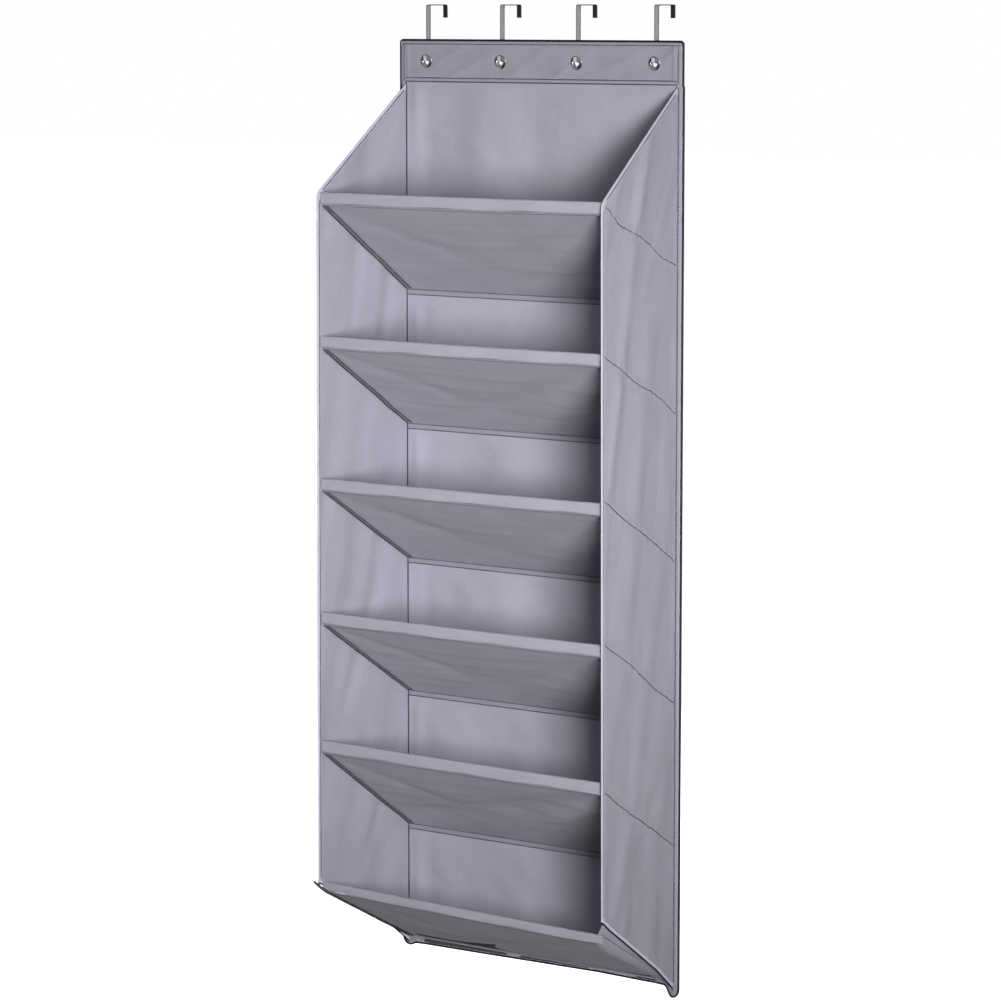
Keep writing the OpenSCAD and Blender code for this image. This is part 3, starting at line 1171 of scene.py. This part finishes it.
class PanelOperator(bpy.types.Operator):
    """Back panel with its rounded lower corners, tapes, piping and shelf seams"""

    bl_idname = "shoe_organizer.back_panel"
    bl_label = "Back panel"

    def execute(self, context):
        sizes = chosen().cloth
        half = EDGE - 0.3 * MM
        top = HEADER_LOW + 6 * MM
        seed = chosen().seed

        def relief(x, z):
            calm = np.ones_like(x)
            for seam in [SEAMS[k][2] - REAR_DROP[k] * MM for k in SEAMS]:
                calm *= 1 - bell(z - seam + 5 * MM, 20 * MM)
            calm *= ease((HALF - 15 * MM - np.abs(x)) / (20 * MM))
            calm *= ease((PANEL_TOP - z) / (25 * MM))
            bulge = waves(np.random.default_rng(seed + 21), x, z, 0.19, 8, (0.8, 1.5))
            fine = waves(np.random.default_rng(seed + 22), x, z, 0.06, 7)
            upright = bell(x + 0.248, 0.012) - 0.6 * bell(x + 0.225, 0.014)
            return calm * (2.2 * MM * bulge + 0.5 * MM * fine + 1.6 * MM * upright)

        def layout(u, v):
            x = -half + 2 * half * u
            low = panel_bottom(x) + 0.6 * MM
            z = low + (top - low) * v
            return x, PANEL_FRONT - relief(x, z), z

        size = (2 * half, top - PANEL_LOW)
        panel = cloth("back_panel_cloth", 112, 270, layout, size)
        smooth(thicken(panel, sizes.panel), 40)
        settle(panel, bonded_cloth("panel"), None, "panel_fabric", "back_panel")

        middle = (PANEL_FRONT + PANEL_BACK) / 2
        gap = PANEL_BACK - PANEL_FRONT + 0.1 * MM
        out = FORWARD
        at = (0, middle, 0)
        right, left = panel_outline(1, 3.2 * MM) + at, panel_outline(-1, 3.2 * MM) + at
        split = [int(np.argmax(np.abs(half[:, 0]) > HALF - 46 * MM)) for half in (right, left)]
        for name, path, node in (
            ("panel_side_tape_right", right[split[0] :], "side_binding_right"),
            ("panel_side_tape_left", left[split[1] :][::-1], "side_binding_left"),
        ):
            tape = binding(name, path, out, sizes.side_tape, gap, sizes.tape, step=4 * MM)
            settle(tape, ribbed_tape(1.0), "organizer", "binding_tape", node)
        bottom = np.concatenate([left[: split[1] + 1][::-1], right[1 : split[0] + 1]])
        tape = binding("panel_bottom_tape", bottom, out, 9 * MM, gap + 0.1 * MM, sizes.tape)
        settle(tape, ribbed_tape(0.22), "organizer", "binding_tape", "bottom_binding")
        cord = tube("panel_piping", whole_outline(0.7 * MM) + at, sizes.piping, out, step=4 * MM)
        settle(cord, piping_cord(), "organizer", "binding_tape")
        for side, sign in SIDES.items():
            x = sign * (gusset_face(GUSSET_REAR) - 1.6 * MM)
            path = [(x, PANEL_FRONT - 0.6 * MM, z) for z in (PANEL_LOW + 24 * MM, PANEL_TOP)]
            # A dark cord in each inner rear corner: partly the real seam there, partly painted
            # shadow of the corner between gusset and panel.
            seam = tube(f"gusset_rear_seam_{side}", path, 0.9 * MM, out, 6, 12 * MM)
            settle(seam, sewing_thread(1.6), "organizer", "binding_tape")

        inner = gusset_face(GUSSET_REAR) - 1.6 * MM
        face = PANEL_FRONT - 0.85 * MM
        rows = []
        for k in range(1, SHELVES):
            z = SEAMS[k][2] - REAR_DROP[k] * MM
            width = 10.4 * MM
            path = [(x, PANEL_FRONT, z - width) for x in (-inner, inner)]
            hem = strip(f"seam_tape_{k}", path, width, 0.7 * MM, out, 0.15 * MM, 30 + k)
            settle(hem, ribbed_tape(0.9), "organizer", "binding_tape", f"rear_hem_{k}")
            for offset in (9.4, 1.2):
                rows.append(flat_row(inner, face, z - offset * MM, 3.8, 1.5))
        face = PANEL_FRONT - sizes.tape - 0.45 * MM
        zigzag = zigzag_rows(face, PANEL_LOW + 24 * MM, PANEL_TOP - 2 * MM)
        sewn("panel_zigzag", zigzag, 1.3, "organizer")
        low = bottom[np.abs(bottom[:, 0]) < HALF - 50 * MM] + (0, face - middle, 7.4 * MM)
        rows.append((low, out, {"pitch": 3.8 * MM, "wide": 1.6}))
        threads = sewn("panel_stitches", rows, 1.0, "organizer")
        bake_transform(panel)
        return {"FINISHED"}


# Rows of stitches that hold the shelf ends, seen outside a gusset: depth and height in millimetres.
SEAM_LINES = {
    1: (
        (-250, -300), (-240.5, -305.6), (-224, -317), (-207.6, -330), (-193.9, -338.3),
        (-169.2, -345.6), (-138.7, -356.4), (-107.9, -370.3), (-93.8, -381.9),
        (-76.8, -390.6), (-38.3, -403.7), (-28, -407),
    ),
    2: (
        (-250, -533), (-236.1, -539.1), (-211.5, -551.8), (-181.3, -566.5), (-159, -579.2),
        (-125.5, -592.8), (-94.5, -604.7), (-66, -619.7), (-29.5, -641.9),
    ),
    3: ((-250, -756), (-237.5, -762.2), (-180, -797), (-120, -826), (-30.1, -878.6)),
    4: ((-250, -981), (-236.1, -987.8), (-170, -1023), (-90, -1075), (-27.7, -1108.5)),
    5: ((-250, -1213), (-237.4, -1219.9), (-160, -1267), (-100, -1298), (-31.9, -1338.7)),
}


def seam_row(k, y):
    """Height of the row of stitches that holds shelf k's end, at that depth."""
    depth, height = np.array(SEAM_LINES[k]).T * MM
    return np.interp(y, depth, height) + 0.8 * MM * np.sin(y * 95 + k) * np.sin(y * 41 + 2 * k)


class GussetOperator(bpy.types.Operator):
    """Two side gussets with soft folds, puckered seams and bound edges"""

    bl_idname = "shoe_organizer.side_gussets"
    bl_label = "Side gussets"

    def execute(self, context):
        sizes = chosen().cloth
        front, slope, centre = gusset_corner()
        high = (GUSSET_TOP_REAR + CORNER_TOP) / 2
        size = (GUSSET_REAR - front, high - (LOW_FRONT + LOW_REAR) / 2)
        for side, sign in SIDES.items():
            folds = self.folds(sign)

            def relief(y, z, folds=folds, sign=sign):
                rng = np.random.default_rng(chosen().seed + 40 + sign)
                share = (GUSSET_REAR - y) / (GUSSET_REAR - front)
                free = ease(share / 0.09) * ease((1 - share) / 0.09)
                free *= ease((gusset_top(y) - z) / (22 * MM))
                free *= ease((z - gusset_low(y, sign)) / (22 * MM))
                total = 0.3 * waves(rng, y, z, 0.16, 8, (0.7, 1.6))
                for a, b, width, depth in folds:
                    total = total + depth * ridge(y, z, a, b, width)
                total = total * sizes.fold
                pucker = 0
                for k in SEAM_LINES:
                    off = z - seam_row(k, y)
                    total = total * (1 - 0.75 * bell(off, 20 * MM))
                    ripple = np.sin(2 * math.pi * (y + 0.3 * z) / (13 * MM) + k)
                    ripple = ripple + 0.7 * np.sin(2 * math.pi * (y - 0.2 * z) / (21 * MM) + 2 * k)
                    pucker = pucker + 0.42 * MM * ripple * bell(off, 10 * MM)
                    pucker = pucker + 0.55 * MM * (bell(np.abs(off) - 4.5 * MM, 3.5 * MM))
                    pucker = pucker - 0.45 * MM * bell(off, 1.8 * MM)
                total = np.maximum(total, -1.6 * MM) * free
                return total + pucker * ease(share / 0.04) * ease((1 - share) / 0.04)

            def layout(u, v, sign=sign, relief=relief):
                walk = u if sign > 0 else 1 - u
                y = front + (GUSSET_REAR - front) * walk
                low, top = gusset_low(y, sign), gusset_top(y)
                z = low + (top - low) * v
                face = gusset_face(y, z) + np.maximum(relief(y, z), -0.9 * MM)
                return sign * face, y, z

            panel = cloth(f"gusset_cloth_{side}", 64, 400, layout, size)
            smooth(thicken(panel, sizes.cloth), 45)
            settle(panel, bonded_cloth("gusset"), None, "panel_fabric", f"side_gusset_{side}")

            def lay(y, z, lift=0.0, sign=sign, relief=relief):
                """Places points of depth and height on the gusset's outer face."""
                y, z = np.array(y, float), np.array(z, float)
                face = gusset_face(y, z) + np.maximum(relief(y, z), -0.9 * MM) + lift
                return np.stack([sign * face, y, z], 1)

            gap = sizes.cloth + 0.5 * MM
            out = (sign, 0, 0)
            inside = -gap / 2 + 0.2 * MM
            ys = np.linspace(GUSSET_REAR + 0.5 * MM, centre[0] - CORNER_R * math.sin(slope), 40)
            arc = np.linspace(math.pi / 2 + slope, math.pi, 10)[1:]
            y = np.concatenate([ys, centre[0] + CORNER_R * np.cos(arc)])
            z = np.concatenate([gusset_top(ys), centre[1] + CORNER_R * np.sin(arc)])
            top_path = lay(y, z, inside)
            foot = float(gusset_low(front, sign))
            zs = np.linspace(centre[1], foot + 1 * MM, 90)
            front_path = lay(np.full(90, front), zs, inside)
            ys = np.linspace(front - 1 * MM, GUSSET_REAR - 1 * MM, 60)
            low_path = lay(ys, gusset_low(ys, sign), inside)
            if sign > 0:
                paths = [top_path, front_path, low_path]
            else:
                paths = [path[::-1] for path in (top_path, front_path, low_path)]
            names = ("top", "front", "lower")
            tapes = []
            widths = (sizes.edge_tape, sizes.edge_tape, 3.4 * MM)
            for name, path, shade, width in zip(names, paths, (1.5, 1.6, 1.9), widths):
                tape = binding(
                    f"gusset_{name}_tape_{side}", path, out, width, gap, sizes.tape,
                    step=4 * MM,
                )
                body = "gusset_front" if name == "front" else None
                node = f"gusset_{name}_binding_{side}"
                tapes.append(settle(tape, ribbed_tape(shade), body, "binding_tape", node))

            path = lay(ys, gusset_low(ys, sign) - 2.0 * MM, inside - 0.6 * MM)
            cord = tube(f"gusset_lower_seam_{side}", path, 1.3 * MM, out, 6, 4 * MM)
            tapes.append(settle(cord, piping_cord(), None, "binding_tape"))

            rows, front_rows = [], []
            solid = {"pitch": 3.7 * MM, "wide": 1.8}
            for k in SEAM_LINES:
                ys = np.linspace(GUSSET_REAR - 1.5 * MM, front + sizes.edge_tape, 60)
                path = lay(ys, seam_row(k, ys), 0.6 * MM)
                rows.append((path, out, {"pitch": 3.9 * MM, "wide": 1.6}))
            inset = 4.4 * MM
            ys = np.linspace(GUSSET_REAR - 6 * MM, front + 14 * MM, 50)
            lifted = sizes.tape + 0.55 * MM
            rows.append((lay(ys, gusset_top(ys) - inset / math.cos(slope), lifted), out, solid))
            zs = np.linspace(centre[1] - 2 * MM, foot + 6 * MM, 60)
            front_rows.append((lay(np.full(60, front + inset), zs, lifted), out, solid))
            back = (-sign, 0, 0)
            sunk = -lifted - sizes.cloth - 0.2 * MM
            inner = lay(np.full(60, front + inset), zs, sunk)
            front_rows.append((inner, back, solid))
            inner = lay(ys, gusset_top(ys) - inset / math.cos(slope), sunk)
            rows.append((inner, back, solid))
            threads = sewn(f"gusset_stitches_{side}", rows, 1.3)
            front_threads = sewn(f"gusset_front_stitches_{side}", front_rows, 1.3, "gusset_front")
            for piece in (panel, tapes[0], tapes[2], cord, threads):
                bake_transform(piece)
            size[0] * size[1]
        return {"FINISHED"}

    def folds(self, sign):
        """Soft folds that hang from the sloping edge and lean forward as they fall."""
        rng = np.random.default_rng(chosen().seed + 60 + sign)
        found = []
        for k in range(SHELVES + 1):
            top = SHELF_TOP[k] if k else -0.17
            for n in range(4):
                y = -0.06 - 0.045 * n + rng.uniform(-0.012, 0.012)
                z = top - rng.uniform(-0.01, 0.07)
                lean, fall = rng.uniform(-0.06, -0.015), rng.uniform(0.11, 0.2)
                width = rng.uniform(0.012, 0.026)
                depth = rng.uniform(0.45, 1.0) * (1 if (n + k) % 2 else -0.55)
                found.append(((y, z), (y + lean, z - fall), width, depth))
        return found


def shelf_line(k):
    """Rear seam and top front corner of a shelf seen from its end, as (depth, height), and the
    directions ahead along the shelf and up from it."""
    seam = np.array([SEAMS[k][1], SEAMS[k][2] + REAR_RISE[k] * MM])
    corner = np.array([LIP_FRONT, SHELF_TOP[k] + sum(LIP_RISE[k]) / 2 * MM])
    ahead = (corner - seam) / np.linalg.norm(corner - seam)
    return seam, corner, ahead, np.array([ahead[1], -ahead[0]])


def reach(k, y):
    """Share of the way from a shelf's rear seam to its lip."""
    return np.clip((SEAMS[k][1] - y) / (SEAMS[k][1] - LIP_FRONT), 0, 1.2)


LIP_HALF, LIP_SPAN = 0.2724, 0.55


def lean(k, x, y):
    """How much higher a soft shelf stands there than its middle line."""
    left, right = LIP_RISE[k]
    tilt = (right - left) / 2 * x / LIP_HALF
    return (tilt - 0.8 * np.cos(math.pi * x / LIP_SPAN)) * MM * reach(k, y)


def arc(middle, radius, first, last, count):
    turn = np.radians(np.linspace(first, last, count))
    return [middle + radius * np.array([math.cos(a), math.sin(a)]) for a in turn]


# Where the loose front end of shelf 6's bound edge sticks out, in metres.
LOOSE_TIP = ((-0.292, -0.2545, -1.4325), (-0.2855, -0.251, -1.44))


class ShelfOperator(bpy.types.Operator):
    """Six sewn shelves with a board, a rod, an upright lip, a creased lower cloth and bound ends"""

    bl_idname = "shoe_organizer.shelves"
    bl_label = "Shelves"

    def execute(self, context):
        for k in SEAMS:
            self.core(k)
            self.deck(k)
            self.lower(k)
        return {"FINISHED"}

    def core(self, k):
        """Board and rod, following the soft shelf."""
        seam, corner, ahead, _ = shelf_line(k)
        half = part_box(f"shelf_{k}_board")[1].x - (32 * MM if k == SHELVES else 0)
        span = math.dist(seam, corner)

        def layout(u, v):
            y, z = (seam + ahead * (8 * MM + v * (span - 26 * MM))[:, None]).T
            x = half * (1 - 2 * u)
            return x, y, z + lean(k, x, y)

        board = cloth(f"shelf_{k}_stiff_board", 12, 4, layout, (2 * half, span))
        smooth(thicken(board, 3 * MM, 0.0), 30)
        settle(board, board_sheet(), f"shelf_{k}", "board_plastic", f"shelf_{k}_board")
        x = np.linspace(-1, 1, 14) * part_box(f"shelf_{k}_rod")[1].x
        y = np.full(14, LIP_FRONT + 3.5 * MM)
        path = np.stack([x, y, corner[1] - 3.5 * MM + lean(k, x, y)], 1)
        rod = tube(f"shelf_{k}_lip_rod", path, 2.4 * MM, (0, 0, 1), 14, 30 * MM)
        settle(rod, drawn_wire(), f"shelf_{k}", "rod_steel", f"shelf_{k}_rod")

    def deck(self, k):
        """The cloth over the board and round the lip."""
        seam, corner, ahead, up = shelf_line(k)
        tilt = math.degrees(math.atan2(ahead[1], -ahead[0]))
        roll, lip, fall = 2.5 * MM, 3.5 * MM, LIP_FALL[k] * MM
        span = math.dist(seam, corner)
        points = arc(seam, roll, -90 - tilt, 90 - tilt, 9)
        points += [seam + up * roll + ahead * s for s in np.linspace(8 * MM, span - 9 * MM, 22)]
        points += arc(corner + (lip, -lip), lip, 90 - tilt, 180, 8)
        drops = np.linspace(lip + 2 * MM, fall - roll - 1 * MM, 7)
        points += [corner - (0, drop) for drop in drops]
        points += arc(corner + (roll, roll - fall), roll, 180, 255, 5)
        points = np.array(points)
        count = len(points) - 1
        first = count - 12
        rng = np.random.default_rng(chosen().seed + 70 + k)
        phases = rng.uniform(0, 2 * math.pi, 3)

        def layout(u, v):
            i = np.rint(v * count).astype(int)
            y, z = points[i, 0], points[i, 1]
            x = (1 - 2 * u) * shelf_half(y, z)
            drop = np.clip((i - first) / 9, 0, 1)
            tug = np.sin(x * 64 + phases[0] + 5 * drop) * np.sin(x * 21 + phases[1])
            ends = bell(np.abs(x) - 0.255, 0.014) * np.sin(x * 330 + 60 * drop * MM + 8 * drop)
            wave = (0.45 * tug + 0.5 * ends) * MM * np.sin(math.pi * drop)
            level = 0.7 * MM * np.sin(x * 37 + phases[2]) * (i > first) * drop
            return x, y - wave, z + lean(k, x, y) + level

        size = (2 * shelf_half(LIP_FRONT, corner[1]), along(points)[-1])
        piece = cloth(f"shelf_{k}_deck", 130, count, layout, size)
        smooth(thicken(piece, chosen().cloth.cloth), 60)
        body = None if REAR_RISE[k] else f"shelf_{k}"
        settle(piece, woven_cloth("deck"), body, "shelf_fabric", f"shelf_{k}_cover")
        if REAR_RISE[k]:
            self.follow(k, piece, 20 * MM)

    def follow(self, k, piece, length):
        """Bakes the piece's placement into its mesh, so it stays where it was built."""
        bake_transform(piece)

    def lower(self, k):
        """The cloth under a shelf, its bound ends and its stitches."""
        sizes = chosen().cloth
        seam, corner, _, _ = shelf_line(k)
        first = corner + (2.5 * MM, -LIP_FALL[k] * MM - 0.3 * MM)
        last = np.array([PANEL_FRONT - 0.7 * MM, seam[1] - REAR_DROP[k] * MM])
        length = math.dist(first, last)
        way = (last - first) / length
        down = np.array([way[1], -way[0]])
        rng = np.random.default_rng(chosen().seed + 80 + k)
        phases = rng.uniform(0, 2 * math.pi, 4)
        foot = rng.uniform(-0.15, 0.0)
        slack = rng.uniform(0.8, 1.2) * (0.5 if k == SHELVES else 1)
        wall = 0.1 if k == SHELVES else 0.0

        def taut(s):
            """Depth and height of the pulled-straight cloth at that share of its depth."""
            return first[0] + (last[0] - first[0]) * s, first[1] + (last[1] - first[1]) * s

        def hang(x, s):
            """How far the cloth hangs down at x and at that share of its depth."""
            depth = s * length
            streak = ridge(x, depth, (0.266, 0.012), (foot, 0.19), 0.024)
            second = ridge(x, depth, (0.262, 0.05), (foot + 0.12, 0.21), 0.017)
            fan = ridge(x, depth, (-0.262, 0.02), (-0.12, 0.12), 0.02)
            level = sum(
                np.sin(2 * math.pi * depth / l + p + 2.2 * np.sin(x * 9 + p))
                for l, p in zip((0.023, 0.037, 0.061), phases)
            )
            broad_rng = np.random.default_rng(chosen().seed + 90 + k)
            broad = waves(broad_rng, x, depth, 0.12, 6, (2.0, 0.9))
            folds = 0.12 * level + 0.5 * broad - 2.4 * streak + 1.3 * second - 1.0 * fan
            total = 2.4 * MM * np.cos(math.pi * x / 0.56) + sizes.crease * slack * folds
            free = np.sin(math.pi * np.clip(s, 0, 1)) ** 0.6
            return total * free * ease((0.273 - np.abs(x)) / 0.022)

        def line(x, s, lift=0.0):
            """Places points under the shelf, a little off the cloth."""
            y, z = taut(s)
            off = hang(x, s) + lift
            return np.stack([x + 0 * s, y + down[0] * off, z + down[1] * off + lean(k, x, y)], 1)

        def layout(u, v):
            across = np.abs(1 - 2 * u)
            up_wall = np.clip((across - 1 + wall) / wall, 0, 1) ** 2 if wall else 0 * across
            side = np.sign(1 - 2 * u)
            x, y, z = line(side * across * shelf_half(*taut(v)), v).T
            rise = np.clip(gusset_low(y) + 4 * MM - z, 0, None) * up_wall * (side > 0)
            return x + side * up_wall * 1.1 * MM, y, z + rise

        size = (2 * shelf_half(LIP_FRONT, first[1]), length)
        piece = cloth(f"shelf_{k}_lower_cloth", 140, 40, layout, size)
        smooth(thicken(piece, sizes.cloth), 60)
        settle(piece, woven_cloth("shelf"), None, "shelf_fabric")
        self.follow(k, piece, 50 * MM)

        flanges, tips, rows = [], [], []
        width = 12 * MM
        out = np.array([0, down[0], down[1]])
        for sign in (-1,) if wall else SIDES.values():
            s = np.linspace(0.015, 0.985, 60)
            edge = shelf_half(*taut(s)) - 0.3 * MM
            path = line(sign * (edge - 4 * MM), s, 0.2 * MM)
            path[:, 0] = sign * edge
            if wall:
                path = np.concatenate([LOOSE_TIP, path])
            walk = slice(None, None, -sign)
            flange = strip(
                f"end_{sign}", path[walk], width, 1.2 * MM, out, 0.25 * MM, k * 3 + sign
            )
            tip = path[:5] + out * 1.3 * MM
            flanges.append(flange)
            tips.append(strip(f"tip_{sign}", tip[walk], width * 0.9, 1.0 * MM, out))
            for inset, options in (
                (width - 1.3 * MM, {"pitch": 4.1 * MM, "wide": 2.2, "long": 1.1}),
                (1.0 * MM, {"pitch": 3.7 * MM, "wide": 2.4, "long": 1.15}),
            ):
                rows.append((path + out * 2.0 * MM - (sign * inset, 0, 0), out, options))
        flange, tip = join(f"shelf_{k}_bound_ends", flanges), join(f"shelf_{k}_tape_tips", tips)
        # Painted shade: shelf 6's bound end takes 0.22 of the tape colour for the shade under that
        # shelf; the other shelves' ends take 0.6 of it.
        shade = 0.22 if wall else 0.6
        settle(flange, ribbed_tape(shade), None, "binding_tape", f"shelf_{k}_end_tapes")
        settle(tip, ribbed_tape(0.3), None, "binding_tape")

        x = np.linspace(-1, 1, 80) * (shelf_half(LIP_FRONT, first[1]) - 14 * MM)
        rows.append((line(x, np.full(80, 0.02), 0.2 * MM), out, {}))
        threads = sewn(f"shelf_{k}_stitches", rows, 0.9)
        for part in (flange, tip, threads):
            self.follow(k, part, 50 * MM)


class CoreOperator(bpy.types.Operator):
    """Finishes for the hidden stiffener and washers that keep their frame shapes"""

    bl_idname = "shoe_organizer.cores"
    bl_label = "Stiffener and washers"

    def execute(self, context):
        dress(frame["nodes"]["header_stiffener"], board_sheet())
        dress(frame["nodes"]["grommet_washers"], polished_steel(0.9, 1.0, (0.0, 0.0), 1.0, 0.0))
        return {"FINISHED"}


FLOOR_LEVEL = -2.03

# Camera: its place in metres, how far it looks down and round in degrees, its lens in millimetres.
CAMERA_PLACE = (3.607, -5.0856, 0.0)
CAMERA_DIP, CAMERA_TURN, CAMERA_LENS = 7.348, 36.057, 138.07

# Lights: name, place and size in metres, power in watts, spread in degrees, and aim.
LIGHTS = (
    ("key", (3.35, -3.3, -0.4), 1.2, 19.5, 45, (-0.25, -0.12, -0.66)),
    ("upper", (2.2, -3.4, 1.0), 1.4, 21, 180, (0, -0.12, -0.8)),
    ("rear", (-3.2, 3.2, -0.3), 2.0, 150, 180, (0, -0.12, -0.8)),
)

# Light that comes from all round, from straight above (0) to straight below (1).
SKY_STOPS = ((0.4, (0.075, 0.075, 0.076, 1)), (0.75, (0.165, 0.165, 0.17, 1)))


class StageOperator(bpy.types.Operator):
    """Pale floor, soft studio light and the camera"""

    bl_idname = "shoe_organizer.stage"
    bl_label = "Stage"

    def execute(self, context):
        scene = context.scene
        scene.view_settings.view_transform = "Standard"
        fresh()
        bpy.ops.mesh.primitive_plane_add(size=80, location=(0, 0, FLOOR_LEVEL))
        floor = named(context.object, "floor")
        bpy.ops.object.transform_apply(location=True)
        dress(floor, pale_floor())
        floor.visible_diffuse = floor.visible_glossy = False

        sky = Shader("studio", "worlds")
        height = sky.axis(sky.node("ShaderNodeTexCoord", output="Generated"), "Z")
        fall = sky.node(
            "ShaderNodeMapRange", inputs={"Value": height, "From Min": 1.0, "From Max": -1.0}
        )
        lit = sky.node(
            "ShaderNodeBackground",
            inputs={"Color": sky.node("ShaderNodeValToRGB", {"stops": SKY_STOPS}, {"Fac": fall})},
        )
        seen = sky.node("ShaderNodeBackground", inputs={"Color": (1, 1, 1, 1)})
        ray = sky.node("ShaderNodeLightPath", output="Is Camera Ray")
        both = sky.node("ShaderNodeMixShader", inputs=(ray, lit, seen))
        sky.node("ShaderNodeOutputWorld", inputs={"Surface": both})
        scene.world = sky.owner

        for name, place, size, power, spread, target in LIGHTS:
            bpy.ops.object.light_add(type="AREA", location=place)
            light = context.object
            light.name = name
            light.data.size, light.data.energy = size, power
            light.data.spread = math.radians(spread)
            aim = Vector(target) - light.location
            light.rotation_euler = aim.to_track_quat("-Z", "Y").to_euler()

        bpy.ops.object.camera_add(
            location=CAMERA_PLACE,
            rotation=(math.radians(90 - CAMERA_DIP), 0, math.radians(CAMERA_TURN)),
        )
        camera = context.object
        camera.data.lens, camera.data.sensor_width = CAMERA_LENS, 36
        camera.data.clip_end = 200
        scene.camera = camera
        return {"FINISHED"}


class OrganizerPanel(bpy.types.Panel):
    """Lists the settings and the steps of the build"""

    bl_idname = "VIEW3D_PT_shoe_organizer"
    bl_label = "Shoe Organizer"
    bl_space_type = "VIEW_3D"
    bl_region_type = "UI"
    bl_category = "Shoe Organizer"

    def draw(self, context):
        settings = context.scene.shoe_organizer
        for group in (settings.cloth, settings.thread, settings.colours):
            box = self.layout.box()
            for key in group.__annotations__:
                box.prop(group, key)
        self.layout.prop(settings, "seed")
        for operator in STEPS:
            self.layout.operator(operator.bl_idname)


STEPS = (
    StageOperator,
    HookOperator,
    GrommetOperator,
    HeaderOperator,
    PanelOperator,
    GussetOperator,
    ShelfOperator,
    CoreOperator,
)
CLASSES = (
    ClothSettings,
    ThreadSettings,
    ColourSettings,
    OrganizerSettings,
    *STEPS,
    OrganizerPanel,
)


def register():
    for item in CLASSES:
        bpy.utils.register_class(item)
    bpy.types.Scene.shoe_organizer = PointerProperty(type=OrganizerSettings)


def unregister():
    del bpy.types.Scene.shoe_organizer
    for item in reversed(CLASSES):
        bpy.utils.unregister_class(item)


def main():
    register()
    for operator in STEPS:
        group, action = operator.bl_idname.split(".")
        getattr(getattr(bpy.ops, group), action)()
    fresh()


if __name__ == "__main__":
    main()
